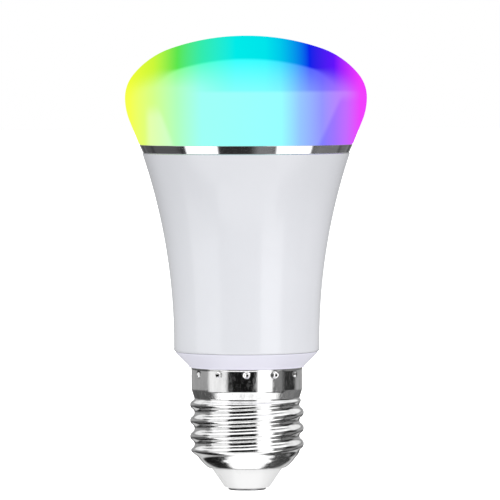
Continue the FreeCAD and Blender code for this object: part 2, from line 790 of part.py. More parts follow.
# ---------------------------------------------------------------------------------------------
# Trim ring, dome and sealant
# ---------------------------------------------------------------------------------------------


def trim_ring():
    """A bright metal band, leaning as the surfaces above and below it do."""
    ring = body("trim_ring")
    low, high = "housing_top + seam_gap", "trim_top - seam_gap"
    lower = flare("housing_top", "0")
    turned(
        ring,
        "TrimBand",
        [
            ("trim_bore", low),
            (f"{lower} - trim_edge", low, "trim_edge", 1),
            (lower, f"{low} + trim_edge"),
            ("trim_high_radius", f"{high} - trim_edge", "trim_edge", 1),
            ("trim_high_radius - trim_edge", high),
            ("trim_bore", high),
        ],
    )


def dome_arcs(inset):
    """Corners down the dome's outline, inset by the wall: crown, shoulder, rim, flank."""
    centre_r, centre_z = "0", "bulb_height - crown_radius"
    corners = []
    steps = [
        ("crown_radius", "shoulder_radius", "0", "crown_turn"),
        ("shoulder_radius", "rim_radius", "crown_turn", "rim_start"),
        ("rim_radius", "flank_radius", "rim_start", "90"),
        ("flank_radius", None, "90", "90 + flank_turn"),
    ]
    for radius, following, start, end in steps:
        reach = f"({radius} - {inset})"
        corners.append(
            (f"{centre_r} + {reach} * sin({start})", f"{centre_z} + {reach} * cos({start})", reach)
        )
        if following is None:
            corners.append(
                (f"{centre_r} + {reach} * sin({end})", f"{centre_z} + {reach} * cos({end})")
            )
        else:
            centre_r = f"{centre_r} + ({radius} - {following}) * sin({end})"
            centre_z = f"{centre_z} + ({radius} - {following}) * cos({end})"
    return corners


def flank_foot(corner, level):
    """Where the straight flank that leaves a corner reaches a level."""
    return f"{corner[0]} - ({corner[1]} - ({level})) * tan(flank_turn)"


def diffuser_dome():
    """The milky dome: an even wall, an inward flange, and a spigot with snap tabs."""
    dome = body("diffuser_dome")
    outer, inner = dome_arcs("0"), dome_arcs("dome_wall")
    flange = "trim_top + dome_wall"
    down = [(*corner, -1) if len(corner) == 3 else corner for corner in outer]
    foot = [
        (flank_foot(outer[-1], "trim_top"), "trim_top"),
        ("spigot_radius", "trim_top"),
        ("spigot_radius", "spigot_bottom"),
        ("spigot_radius - spigot_wall", "spigot_bottom"),
        ("spigot_radius - spigot_wall", flange),
        (flank_foot(inner[-1], flange), flange),
    ]
    up = []
    for below, above in zip(inner[::-1], [*inner[-2::-1], None]):
        up.append(below[:2] if above is None else (*below[:2], above[2], 1))
    turned(dome, "DomeWall", down + foot + up)

    def tab(sketch):
        rectangle(
            sketch,
            "spigot_radius - spigot_wall / 2",
            "-snap_width / 2",
            "spigot_radius + snap_reach",
            "snap_width / 2",
        )

    snap = raised(dome, "SnapTab", tab, "snap_level", "snap_height")
    repeated(dome, "SnapTabs", [snap], "snap_count")


def diffuser_sealant():
    """The silicone bead under the spigot, rounded on top."""
    bead = body("diffuser_sealant")
    high = "spigot_bottom - seam_gap"
    turned(
        bead,
        "Bead",
        [
            ("sealant_inner", "sealant_low"),
            ("sealant_outer", "sealant_low"),
            ("sealant_outer", f"{high} - 0.2"),
            ("sealant_outer - 0.2", high),
            ("sealant_inner + 0.2", high),
            ("sealant_inner", f"{high} - 0.2"),
        ],
    )


# ---------------------------------------------------------------------------------------------
# LED board
# ---------------------------------------------------------------------------------------------

BOARD_LOW = "deck_top + pad_thickness"
BOARD_HIGH = "deck_top + pad_thickness + led_board_thickness"


def board_openings(sketch):
    """The radio board's slot and the header pins' slot, in the LED board and the pad."""
    rectangle(sketch, "-radio_slot_x", "radio_slot_back", "radio_slot_x", "radio_slot_front")
    rectangle(
        sketch,
        "-pin_slot_x",
        "header_line - pin_slot_half",
        "pin_slot_x",
        "header_line + pin_slot_half",
    )


def perforated_disc(label, radius, level, thickness):
    """A disc with both slots and the three screw holes."""
    disc = body(label)
    raised(disc, label + "Disc", lambda s: circle(s, 0, 0, radius), level, thickness)
    top = f"{level} + {thickness}"
    sunk(disc, label + "Slots", board_openings, top, f"{thickness} + break_out")
    hole = sunk(
        disc,
        label + "Hole",
        lambda s: circle(s, 0, "screw_ring", "screw_hole"),
        top,
        f"{thickness} + break_out",
    )
    repeated(disc, label + "Holes", [hole], "screw_count")


def led_board_screws():
    """Three pan-head screws with a cross recess."""
    screws = body("led_board_screws")

    def cross(sketch):
        """The recess as one twelve-cornered outline about the screw's axis."""
        reach, half = "screw_recess_half", "screw_recess_width"
        quarter = [(reach, half), (half, half), (half, reach)]
        corners = []
        for swap, sign_x, sign_y in ((0, "", ""), (1, "-", ""), (0, "-", "-"), (1, "", "-")):
            for a, b in quarter[::-1] if swap else quarter:
                corners.append((f"{sign_x}{a}", f"screw_ring + {sign_y}{b}"))
        outline(sketch, corners)

    head_top = f"{BOARD_HIGH} + screw_head_height"
    shank = raised(
        screws,
        "ScrewShank",
        lambda s: circle(s, 0, "screw_ring", "screw_shank"),
        f"{BOARD_HIGH} - screw_length",
        "screw_length + 0.1",
    )
    head = raised(
        screws,
        "ScrewHead",
        lambda s: circle(s, 0, "screw_ring", "screw_head"),
        BOARD_HIGH,
        "screw_head_height",
    )
    recess = sunk(screws, "ScrewRecess", cross, head_top, "screw_recess_depth")
    repeated(screws, "Screws", [shank, head, recess], "screw_count")


def white_leds():
    """Flat white LEDs in a ring, each a package with a cup of phosphor."""
    half_x, half_y = "white_width / 2", "white_length / 2"
    start = "white_ring * cos(white_turn)", "white_ring * sin(white_turn)"
    cup_low = f"{BOARD_HIGH} + white_height - white_cup"

    def turned_box(sketch, margin):
        """A rectangle that faces the axis, beside the first screw of the ring."""
        corners = []
        for sign_x, sign_y in (("-", "-"), ("", "-"), ("", ""), ("-", "")):
            x = f"{sign_x}({half_x} - {margin})"
            y = f"{sign_y}({half_y} - {margin})"
            corners.append(
                (
                    f"{start[0]} + {x} * cos(white_turn) - {y} * sin(white_turn)",
                    f"{start[1]} + {x} * sin(white_turn) + {y} * cos(white_turn)",
                )
            )
        outline(sketch, corners)

    packages = body("white_led_packages")
    base = raised(
        packages, "WhitePackage", lambda s: turned_box(s, "0"), BOARD_HIGH, "white_height"
    )
    cup = sunk(
        packages,
        "WhiteCup",
        lambda s: turned_box(s, "white_wall"),
        f"{BOARD_HIGH} + white_height",
        "white_cup",
    )
    repeated(packages, "WhitePackages", [base, cup], "white_count")
    phosphors = body("white_led_phosphors")
    fill = raised(
        phosphors,
        "WhitePhosphor",
        lambda s: turned_box(s, "(white_wall + fit)"),
        f"{cup_low} + fit / 2",
        "white_cup - fit",
    )
    repeated(phosphors, "WhitePhosphors", [fill], "white_count")


def colour_leds():
    """Square three-colour LEDs in a ring, each a package with a round lens cup."""
    half = "colour_side / 2"
    packages = body("colour_led_packages")
    base = raised(
        packages,
        "ColourPackage",
        lambda s: rectangle(s, f"-{half}", f"colour_ring - {half}", half, f"colour_ring + {half}"),
        BOARD_HIGH,
        "colour_height",
    )
    cup = sunk(
        packages,
        "ColourCup",
        lambda s: circle(s, 0, "colour_ring", "colour_lens"),
        f"{BOARD_HIGH} + colour_height",
        "colour_cup",
    )
    repeated(packages, "ColourPackages", [base, cup], "colour_count")
    lenses = body("colour_led_lenses")
    fill = raised(
        lenses,
        "ColourLens",
        lambda s: circle(s, 0, "colour_ring", "colour_lens - fit"),
        f"{BOARD_HIGH} + colour_height - colour_cup + fit / 2",
        "colour_cup - fit",
    )
    repeated(lenses, "ColourLenses", [fill], "colour_count")


# ---------------------------------------------------------------------------------------------
# Radio board
# ---------------------------------------------------------------------------------------------

RADIO_FRONT = "radio_back + radio_thickness"


def flat_part(label, name, face, outwards, x, level):
    """A flat part on a board: its width, height and depth are the sheet's name_wide and so on."""
    y = face if outwards > 0 else f"{face} - {name}_deep"
    corner = (f"{x} - {name}_wide / 2", y, f"{level} - {name}_tall / 2")
    return block(label, corner, (f"{name}_wide", f"{name}_deep", f"{name}_tall"))


def radio_board():
    """The radio board with its chip, memory and crystal on the front face."""
    low = ("-radio_half", "radio_back", "radio_bottom")
    size = ("2 * radio_half", "radio_thickness", "radio_top - radio_bottom")
    piece(block("radio_board", low, size))
    for label in ("radio_chip", "radio_memory", "radio_crystal"):
        piece(flat_part(label, label, RADIO_FRONT, 1, f"{label}_x", f"{label}_level"))


def radio_antenna():
    """The printed antenna: upright bars joined at the top and bottom in turn, and a feed."""
    turns = int(number("antenna_turns"))
    bar = ("antenna_track", "antenna_foil", "antenna_length")
    link = ("antenna_pitch + antenna_track", "antenna_foil", "antenna_track")
    strips = []
    for i in range(turns):
        x = f"antenna_left + {i} * antenna_pitch"
        strips.append(block(f"AntennaBar{i}", (x, RADIO_FRONT, "antenna_low"), bar))
        if i + 1 < turns:
            raised_link = " + antenna_length - antenna_track" if i % 2 == 0 else ""
            low = (x, RADIO_FRONT, "antenna_low" + raised_link)
            strips.append(block(f"AntennaLink{i}", low, link))
    low = ("antenna_left", RADIO_FRONT, "antenna_low - antenna_feed")
    size = ("antenna_track", "antenna_foil", "antenna_feed + antenna_track")
    strips.append(block("AntennaFeed", low, size))
    piece(fused("radio_antenna", strips))


def radio_pins():
    """Square pins that bridge from the driver board to the radio board."""
    count = int(number("radio_pin_count"))
    pins = []
    for i in range(count):
        x = f"{i - (count - 1) / 2} * radio_pin_pitch - pin_side / 2"
        low = (x, FRONT, "radio_pin_level")
        size = ("pin_side", "radio_back - board_back - board_thickness", "pin_side")
        pins.append(block(f"RadioPin{i}", low, size))
    piece(grouped("radio_pins", pins))


# ---------------------------------------------------------------------------------------------
# Driver board
# ---------------------------------------------------------------------------------------------

FRONT = "board_back + board_thickness"


def driver_board():
    """A T-shaped board: wide in the tube, narrow where it goes down into the neck."""
    board = body("driver_board")
    sketch = sketch_on(board, "XZ_Plane", "DriverBoardSketch", "-board_back")
    outline(
        sketch,
        [
            ("-board_foot_half", "board_bottom"),
            ("board_foot_half", "board_bottom"),
            ("board_foot_half", "board_waist"),
            ("board_half", "board_waist"),
            ("board_half", "board_top"),
            ("-board_half", "board_top"),
            ("-board_half", "board_waist"),
            ("-board_foot_half", "board_waist"),
        ],
    )
    pad = board.newObject("PartDesign::Pad", "DriverBoardPlate")
    pad.Profile = sketch
    pad.setExpression("Length", bound("board_thickness"))
    pad.Reversed = True


def transformer_core():
    """A ferrite frame with two windows and a leg between them."""
    low = ("leg_x - core_wide / 2", "leg_y - core_deep / 2", "core_low")
    frame = block("CoreFrame", low, ("core_wide", "core_deep", "core_tall"))
    windows = []
    for i, x in enumerate(("leg_x - leg_wide / 2 - window_wide", "leg_x + leg_wide / 2")):
        low = (x, "leg_y - core_deep", "core_low + core_bar")
        size = ("window_wide", "2 * core_deep", "core_tall - 2 * core_bar")
        windows.append(block(f"CoreWindow{i}", low, size))
    piece(cut("transformer_core", frame, fused("CoreWindows", windows)))


def transformer_bobbin():
    """Two flanges and a hub round the leg, standing on the board on two feet."""
    low = "core_low + core_bar + seam_gap"
    high = "core_low + core_tall - core_bar - seam_gap - flange_thick"
    shapes = [rod("BobbinHub", "hub_radius", f"{high} - ({low})", ("leg_x", "leg_y", low))]
    for i, level in enumerate((low, high)):
        centre = ("leg_x", "leg_y", level)
        shapes.append(rod(f"BobbinFlange{i}", "flange_radius", "flange_thick", centre))
        corner = ("leg_x - foot_wide / 2", FRONT, level)
        size = ("foot_wide", f"leg_y - core_deep / 2 - seam_gap - ({FRONT})", "flange_thick")
        shapes.append(block(f"BobbinFoot{i}", corner, size))
    corner = ("leg_x - leg_wide / 2 - seam_gap", "leg_y - core_deep / 2 - seam_gap", "core_low")
    size = ("leg_wide + 2 * seam_gap", "core_deep + 2 * seam_gap", "core_tall")
    bore = block("BobbinBore", corner, size)
    piece(cut("transformer_bobbin", fused("BobbinSpool", shapes), bore))


def transformer_winding():
    """The copper between the flanges."""
    low = "core_low + core_bar + seam_gap + flange_thick + fit"
    length = "core_tall - 2 * (core_bar + seam_gap + flange_thick + fit)"
    centre = ("leg_x", "leg_y", low)
    blank = rod("WindingBlank", "flange_radius - seam_gap", length, centre)
    bore = rod("WindingBore", "hub_radius + fit", length, centre)
    piece(cut("transformer_winding", blank, bore))


def capacitors():
    """Two electrolytic capacitors: aluminium can, printed sleeve, and leads to the board."""
    cans, sleeves, leads = [], [], []
    for name in ("input_cap", "output_cap"):
        x, y, low = f"{name}_x", f"{name}_y", f"{name}_low"
        radius, length = f"{name}_radius", f"{name}_length"
        cans.append(rod(name + "_can", f"{radius} - cap_skin", length, (x, y, low)))
        covered = f"{length} - 2 * cap_margin"
        skin = rod(name + "_skin", radius, covered, (x, y, f"{low} + cap_margin"))
        core = rod(name + "_core", f"{radius} - cap_skin + fit / 3", length, (x, y, low))
        sleeves.append(cut(name + "_sleeve", skin, core))
        for i, side in enumerate(("-", "+")):
            lead_x = f"{x} {side} cap_lead_pitch / 2"
            bottom = f"{low} - cap_stand_off"
            post = rod(f"{name}_post{i}", "lead_core", "cap_stand_off", (lead_x, y, bottom))
            run = rod(
                f"{name}_run{i}",
                "lead_core",
                f"{y} - ({FRONT}) + lead_core",
                (lead_x, f"{y} + lead_core", bottom),
                Vector(0, -1, 0),
            )
            leads.append(fused(f"{name}_lead{i}", [post, run]))
    piece(grouped("capacitor_cans", cans))
    piece(grouped("capacitor_sleeves", sleeves))
    piece(grouped("capacitor_leads", leads))


def choke():
    """A drum choke: a ferrite spool that touches the board, and its winding."""
    centre_y = f"{FRONT} + choke_flange"
    shapes = [rod("ChokePost", "choke_post", "choke_length", ("choke_x", centre_y, "choke_low"))]
    for i, level in enumerate(("choke_low", "choke_low + choke_length - choke_edge")):
        shapes.append(rod(f"ChokeFlange{i}", "choke_flange", "choke_edge", ("choke_x", centre_y, level)))
    piece(fused("choke_core", shapes))
    length = "choke_length - 2 * (choke_edge + seam_gap)"
    centre = ("choke_x", centre_y, "choke_low + choke_edge + seam_gap")
    blank = rod("ChokeBlank", "choke_winding_radius", length, centre)
    bore = rod("ChokeBore", "choke_post + seam_gap", length, centre)
    piece(cut("choke_winding", blank, bore))


def fuse_resistor():
    """The fuse resistor lies across the board on two bent leads."""
    low = ("-fuse_length / 2", "fuse_y", "fuse_level")
    piece(rod("fuse_resistor", "fuse_radius", "fuse_length", low, Vector(1, 0, 0)))
    ends = []
    for i, (side, turn) in enumerate((("-", -1), ("", 1))):
        start = f"{side}(fuse_length / 2 + fit)"
        across = Vector(turn, 0, 0)
        run = rod(f"FuseRun{i}", "lead_core", "fuse_lead", (start, "fuse_y", "fuse_level"), across)
        drop = rod(
            f"FuseDrop{i}",
            "lead_core",
            f"fuse_y - ({FRONT}) + lead_core",
            (f"{side}(fuse_length / 2 + fuse_lead - lead_core)", "fuse_y + lead_core", "fuse_level"),
            Vector(0, -1, 0),
        )
        ends.append(fused(f"FuseLead{i}", [run, drop]))
    piece(grouped("fuse_resistor_leads", ends))


def board_parts():
    """The film capacitor and varistor on the front, and the flat parts on the back."""
    piece(flat_part("film_capacitor", "film_cap", FRONT, 1, "film_cap_x", "film_cap_level"))
    face = ("varistor_x", f"{FRONT} + varistor_thick", "varistor_level")
    piece(rod("varistor", "varistor_radius", "varistor_thick", face, Vector(0, -1, 0)))
    for label in ("bridge_rectifier", "power_chip", "dimmer_chip", "output_diode"):
        piece(flat_part(label, label, "board_back", -1, f"{label}_x", f"{label}_level"))
    for label, name, places in (
        ("chip_resistors", "resistor", RESISTOR_PLACES),
        ("chip_capacitors", "ceramic", CERAMIC_PLACES),
    ):
        group = [
            flat_part(f"{name}{i}", name, "board_back", -1, x, level)
            for i, (x, level) in enumerate(places)
        ]
        piece(grouped(label, group))


def link_header():
    """The pin header that carries power from the driver board up through the LED board."""
    corner = ("-header_half", "header_line - header_back", "header_bottom")
    depth = "board_back - header_line + header_back"
    moulding = block("HeaderBlock", corner, ("2 * header_half", depth, "header_height"))
    count = int(number("header_count"))
    foot = "header_bottom - header_foot"
    ways, pins = [], []
    for i in range(count):
        left = f"{i - (count - 1) / 2} * header_pitch - pin_side / 2"
        near = "header_line - pin_side / 2"
        way = (f"{left} - fit", f"{near} - fit", "header_bottom - break_out")
        bore = ("pin_side + 2 * fit", "pin_side + 2 * fit", "header_height + 2 * break_out")
        ways.append(block(f"HeaderWay{i}", way, bore))
        height = f"{BOARD_HIGH} + pin_proud - ({foot})"
        upright = block(f"HeaderUpright{i}", (left, near, foot), ("pin_side", "pin_side", height))
        reach = ("pin_side", f"board_back - ({near})", "pin_side")
        bend = block(f"HeaderFoot{i}", (left, near, foot), reach)
        pins.append(fused(f"HeaderPin{i}", [upright, bend]))
    piece(cut("link_header", moulding, fused("HeaderWays", ways)))
    piece(grouped("link_pins", pins))


# ---------------------------------------------------------------------------------------------
# Leads
# ---------------------------------------------------------------------------------------------


def soft_path(points, bend):
    """Straight runs joined by arcs of one radius."""
    edges, start = [], points[0]
    for before, corner, after in zip(points, points[1:], points[2:]):
        back = (before - corner).normalize()
        onward = (after - corner).normalize()
        turn = math.pi - back.getAngle(onward)
        setback = bend * math.tan(turn / 2)
        middle = corner + (back + onward).normalize() * (bend / math.cos(turn / 2) - bend)
        enter, leave = corner + back * setback, corner + onward * setback
        edges.append(Part.LineSegment(start, enter).toShape())
        edges.append(Part.Arc(enter, middle, leave).toShape())
        start = leave
    edges.append(Part.LineSegment(start, points[-1]).toShape())
    return Part.Wire(edges)


def swept(points, radius):
    """A round rod along a path."""
    path = soft_path(points, number("lead_bend"))
    ring = Part.Wire([Part.Circle(points[0], points[1] - points[0], radius).toShape()])
    return path.makePipeShell([ring], True, False)


def shaped(label, shape):
    made = doc.addObject("Part::Feature", label)
    made.Label = label
    made.Shape = shape
    pieces.append(made)


def lead(name, route, first_leg, last_leg):
    """An insulated lead. A sleeved leg is (its number in the route, share where the sleeve ends)."""
    ends = []
    for leg, share in (first_leg, last_leg):
        ends.append(route[leg] + (route[leg + 1] - route[leg]) * share)
    covered = [ends[0], *route[first_leg[0] + 1 : last_leg[0] + 1], ends[1]]
    core = number("lead_core")
    sleeve = swept(covered, number("lead_sleeve")).cut(swept(covered, core + number("fit")))
    shaped(name + "_lead_sleeve", sleeve)
    shaped(name + "_lead_wire", swept(route, core))


def leads():
    """Live lead from the contact's shank, neutral lead trapped between neck and shell."""
    on_board = number(FRONT) + number("lead_core") + number("fit")
    pad_x, pad_low, pad_high = (number("solder_" + n) for n in ("x", "low", "high"))
    pocket = number("shank_bore_bottom") + number("play")
    live = [
        Vector(0, 0, pocket),
        Vector(0, 0, 12.5),
        Vector(-3.4, -0.8, 17.4),
        Vector(-pad_x, on_board, pad_low),
        Vector(-pad_x, on_board, pad_high),
    ]
    lead("live", live, (0, 0.48), (2, 0.7))
    trapped = number("lead_groove_floor") + number("lead_core") + number("play")
    neutral = [
        Vector(pad_x, on_board, pad_high),
        Vector(pad_x, on_board, pad_low),
        Vector(5.2, -0.8, 17.6),
        Vector(8.4, 0, 12.0),
        Vector(trapped, 0, 11.2),
        Vector(trapped, 0, 19.5),
    ]
    lead("neutral", neutral, (1, 0.3), (2, 0.75))


# ---------------------------------------------------------------------------------------------
# The assembly
# ---------------------------------------------------------------------------------------------

centre_contact()
cap_insulator()
screw_shell()
driver_case()
housing_shell()
heat_sink()
trim_ring()
diffuser_dome()
diffuser_sealant()
perforated_disc("thermal_pad", "pad_radius", "deck_top", "pad_thickness")
perforated_disc("led_board", "led_board_radius", BOARD_LOW, "led_board_thickness")
led_board_screws()
white_leds()
colour_leds()
radio_board()
radio_antenna()
radio_pins()
driver_board()
transformer_core()
transformer_bobbin()
transformer_winding()
capacitors()
choke()
fuse_resistor()
board_parts()
link_header()
leads()
doc.recompute()

failed = [o.Name for o in doc.Objects if "Invalid" in o.State or "Error" in o.State]
if failed:
    raise SystemExit(f"these objects failed: {failed}")
os.makedirs("parts", exist_ok=True)
for made in pieces:
    shape = made.Shape
    if shape.isNull() or not shape.isValid() or not shape.Solids:
        raise SystemExit(f"{made.Label} has no valid solid")
    shape.exportStep(f"parts/{made.Label}.step")
    print(f"{made.Label}: {len(shape.Solids)} solids, {shape.Volume:.2f} mm3")
print(f"{len(pieces)} pieces")
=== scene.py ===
# %% [markdown]
# # A smart colour light bulb
# This lesson finishes a light bulb whose solids come from CAD. The bulb has a glowing dome, a
# bright trim band, a flared white housing, a short white collar, and a screw cap of rolled metal
# with a white insulator and a contact at its tip. Everything is in metres, +Z runs up the bulb's
# axis, and the contact's face is at the origin.

# %% Load the CAD frame
import json
import math

import bmesh
import bpy
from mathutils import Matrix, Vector


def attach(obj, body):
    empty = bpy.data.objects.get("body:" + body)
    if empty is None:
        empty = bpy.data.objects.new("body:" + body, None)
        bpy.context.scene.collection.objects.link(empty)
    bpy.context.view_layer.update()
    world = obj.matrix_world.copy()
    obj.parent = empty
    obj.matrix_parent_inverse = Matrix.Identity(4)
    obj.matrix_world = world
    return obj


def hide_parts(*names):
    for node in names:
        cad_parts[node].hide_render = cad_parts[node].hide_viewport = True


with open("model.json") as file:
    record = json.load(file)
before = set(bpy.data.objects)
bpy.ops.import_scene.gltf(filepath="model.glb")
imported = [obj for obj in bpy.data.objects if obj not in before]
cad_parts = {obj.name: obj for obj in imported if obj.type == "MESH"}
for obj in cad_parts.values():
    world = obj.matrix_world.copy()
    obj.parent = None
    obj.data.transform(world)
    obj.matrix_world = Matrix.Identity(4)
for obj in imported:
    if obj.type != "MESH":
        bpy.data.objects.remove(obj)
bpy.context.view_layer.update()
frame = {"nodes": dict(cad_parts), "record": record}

MM = 0.001

# %% [markdown]
# ## Shapes that turn about the axis
# Nearly every outer piece of a bulb is moulded, spun or drawn, so it is round about one axis. Its
# outline can be drawn once, as a chain of edges in the XZ plane, and spun. The CAD meshes are the
# right shape, but they are loose triangles that would show facets in a glossy finish. So the
# outer pieces are made again here from the same sizes, with many more steps round the axis.
#
# A straight run is an extruded vertex. An arc is that vertex spun about the arc's centre. The
# outline is closed, so the spin gives a wall with an inside, and both of its skins.

# %% Outline helpers
ROUND_STEPS = 192


def outline_at(radius, height):
    """A bmesh that holds one vertex, where an outline starts. Sizes are in millimetres."""
    shape = bmesh.new()
    bmesh.ops.create_vert(shape, co=(radius * MM, 0, height * MM))
    shape.verts.ensure_lookup_table()
    return shape


def run_to(shape, radius, height):
    """Draws a straight edge from the outline's last vertex."""
    shape.verts.ensure_lookup_table()
    made = bmesh.ops.extrude_vert_indiv(shape, verts=[shape.verts[-1]])
    made["verts"][0].co = (radius * MM, 0, height * MM)


def arc_about(shape, centre, degrees, steps):
    """Spins the outline's last vertex about a centre. Positive turns clockwise, seen from -Y."""
    shape.verts.ensure_lookup_table()
    bmesh.ops.spin(
        shape,
        geom=[shape.verts[-1]],
        cent=(centre[0] * MM, 0, centre[1] * MM),
        axis=(0, 1, 0),
        angle=math.radians(degrees),
        steps=steps,
    )


def turned(shape, name, body="root", node=None, crease=30):
    """Closes the outline, spins it about the axis and makes it a piece that rides on a body."""
    shape.verts.ensure_lookup_table()
    first, last = shape.verts[0], shape.verts[-1]
    if (first.co - last.co).length > 1e-7:
        shape.edges.new((last, first))
    bmesh.ops.spin(
        shape,
        geom=shape.verts[:] + shape.edges[:],
        cent=(0, 0, 0),
        axis=(0, 0, 1),
        angle=math.tau,
        steps=ROUND_STEPS,
        use_merge=True,
    )
    bmesh.ops.remove_doubles(shape, verts=shape.verts[:], dist=1e-7)
    bmesh.ops.dissolve_degenerate(shape, edges=shape.edges[:], dist=1e-8)
    bmesh.ops.recalc_face_normals(shape, faces=shape.faces[:])
    return finished(shape, name, body, node, crease)


def finished(shape, name, body, node, crease):
    """Makes the mesh and object, smooth except over edges sharper than crease degrees."""
    for face in shape.faces:
        face.smooth = True
    for edge in shape.edges:
        if len(edge.link_faces) == 2:
            edge.smooth = edge.calc_face_angle(0.0) < math.radians(crease)
    mesh = bpy.data.meshes.new(name)
    shape.to_mesh(mesh)
    shape.free()
    piece = bpy.data.objects.new(name, mesh)
    bpy.context.scene.collection.objects.link(piece)
    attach(piece, body)
    if node:
        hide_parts(node)
    print(f"{name}: {len(mesh.polygons)} faces")
    return piece


# %% [markdown]
# ## The dome
# The real dome is one moulding of milky plastic. Four arcs that meet smoothly run from its top to
# the widest point and round under it, then a straight flank leans in to the trim band. Each arc's
# centre lies on the line through the last centre and the joint, which is what keeps them smooth.
# The same arcs, shrunk by the wall, make the inside.

# %% Make the dome
DOME_TOP = 104.5
DOME_FOOT = 79.6
DOME_WALL = 1.5
FLANK_LEAN = 22.0
DOME_EDGE = 0.16
SPIGOT_RADIUS, SPIGOT_BORE, SPIGOT_LOW = 22.2, 21.1, 76.4
# each arc has a radius, the angles from the axis where it starts and ends, and its steps
DOME_ARCS = [
    (53.2, 0.0, 19.0, 20),
    (19.08, 19.0, 51.0, 22),
    (8.4, 51.0, 90.0, 22),
    (14.0, 90.0, 112.0, 12),
]


def arc_centres():
    """The centre of each dome arc, from the crown down."""
    centre = Vector((0.0, DOME_TOP - DOME_ARCS[0][0]))
    centres = [centre.copy()]
    for (radius, _, end, _), (following, _, _, _) in zip(DOME_ARCS, DOME_ARCS[1:]):
        turn = math.radians(end)
        centre += Vector((math.sin(turn), math.cos(turn))) * (radius - following)
        centres.append(centre.copy())
    return centres


def flank_corner(inset):
    """Where the last arc meets the straight flank, for a skin that is inset by the wall."""
    radius, _, end, _ = DOME_ARCS[-1]
    turn = math.radians(end)
    return arc_centres()[-1] + Vector((math.sin(turn), math.cos(turn))) * (radius - inset)


def flank_reach(inset, height):
    """Radius of the straight flank at a height."""
    radius, level = flank_corner(inset)
    return radius - (level - height) * math.tan(math.radians(FLANK_LEAN))


dome_outline = outline_at(0, DOME_TOP)
for centre, (_, start, end, steps) in zip(arc_centres(), DOME_ARCS):
    arc_about(dome_outline, centre, end - start, steps)
ledge = DOME_FOOT + DOME_WALL
for radius, height in (
    (flank_reach(0, DOME_FOOT + DOME_EDGE), DOME_FOOT + DOME_EDGE),
    (flank_reach(0, DOME_FOOT) - DOME_EDGE, DOME_FOOT),
    (SPIGOT_RADIUS, DOME_FOOT),
    (SPIGOT_RADIUS, SPIGOT_LOW),
    (SPIGOT_BORE, SPIGOT_LOW),
    (SPIGOT_BORE, ledge),
    (flank_reach(DOME_WALL, ledge), ledge),
    flank_corner(DOME_WALL),
):
    run_to(dome_outline, radius, height)
for centre, (_, start, end, steps) in reversed(list(zip(arc_centres(), DOME_ARCS))):
    arc_about(dome_outline, centre, start - end, steps)
dome = turned(dome_outline, "dome", node="diffuser_dome")

# %% [markdown]
# ## The housing and the trim band
# The housing is straight at its waist and then opens in one long hollow curve, up to the trim
# band. The band carries the same lean, so the three pieces read as one line. Small rounded edges
# on both sides of a seam catch the light and show where one piece ends and the next begins.

# %% Make the housing and the band
WAIST = 16.76
FLARE = 135.8
FLARE_START = 34.1
HOUSING_LOW, HOUSING_HIGH = 31.9, 77.5
HOUSING_WALL = 1.5
FOOT_BORE, FOOT_EDGE, FOOT_WALL = 14.9, 0.55, 1.2
SOCKET_BORE, SOCKET_FLOOR = 22.4, 75.3
GROOVE_BORE, GROOVE_LOW, GROOVE_HIGH = 22.8, 76.3, 77.05


def flare(height, inset=0.0):
    """Radius of the flare at a height, for a skin that is inset by the wall."""
    return WAIST + FLARE - math.sqrt((FLARE + inset) ** 2 - (height - FLARE_START) ** 2)


flare_turn = math.degrees(math.asin((HOUSING_HIGH - FLARE_START) / FLARE))
inner_turn = math.degrees(math.asin((SOCKET_FLOOR - FLARE_START) / (FLARE + HOUSING_WALL)))
flare_centre = (WAIST + FLARE, FLARE_START)

housing_outline = outline_at(FOOT_BORE, HOUSING_LOW)
run_to(housing_outline, WAIST - FOOT_EDGE, HOUSING_LOW)
arc_about(housing_outline, (WAIST - FOOT_EDGE, HOUSING_LOW + FOOT_EDGE), -90, 6)
run_to(housing_outline, WAIST, FLARE_START)
arc_about(housing_outline, flare_centre, flare_turn, 48)
for radius, height in (
    (SOCKET_BORE, HOUSING_HIGH),
    (SOCKET_BORE, GROOVE_HIGH),
    (GROOVE_BORE, GROOVE_HIGH),
    (GROOVE_BORE, GROOVE_LOW),
    (SOCKET_BORE, GROOVE_LOW),
    (SOCKET_BORE, SOCKET_FLOOR),
    (flare(SOCKET_FLOOR, HOUSING_WALL), SOCKET_FLOOR),
):
    run_to(housing_outline, radius, height)
arc_about(housing_outline, flare_centre, -inner_turn, 40)
run_to(housing_outline, WAIST - HOUSING_WALL, HOUSING_LOW + FOOT_WALL)
run_to(housing_outline, FOOT_BORE, HOUSING_LOW + FOOT_WALL)
housing = turned(housing_outline, "housing", node="housing_shell")

# the band's flat side has to stay flat in its shading, so its edges are small and creased
BAND_BORE, BAND_LOW_RADIUS, BAND_HIGH_RADIUS = 22.35, 23.7, 24.52
BAND_LOW, BAND_HIGH = 77.55, 79.55
BAND_EDGE = 0.1
band_outline = outline_at(BAND_BORE, BAND_LOW)
run_to(band_outline, BAND_LOW_RADIUS - BAND_EDGE, BAND_LOW)
arc_about(band_outline, (BAND_LOW_RADIUS - BAND_EDGE, BAND_LOW + BAND_EDGE), -90, 9)
run_to(band_outline, BAND_HIGH_RADIUS, BAND_HIGH - BAND_EDGE)
arc_about(band_outline, (BAND_HIGH_RADIUS - BAND_EDGE, BAND_HIGH - BAND_EDGE), -90, 9)
run_to(band_outline, BAND_BORE, BAND_HIGH)
trim_band = turned(band_outline, "trim_band", node="trim_ring", crease=15)

# %% [markdown]
# ## The collar
# The collar is the part of the driver case that shows. The whole case is one moulding with rails
# and a lead groove inside, which are simplest to keep as CAD made them. A merged copy of the CAD
# mesh can be shaded smooth, which its loose triangles can't.

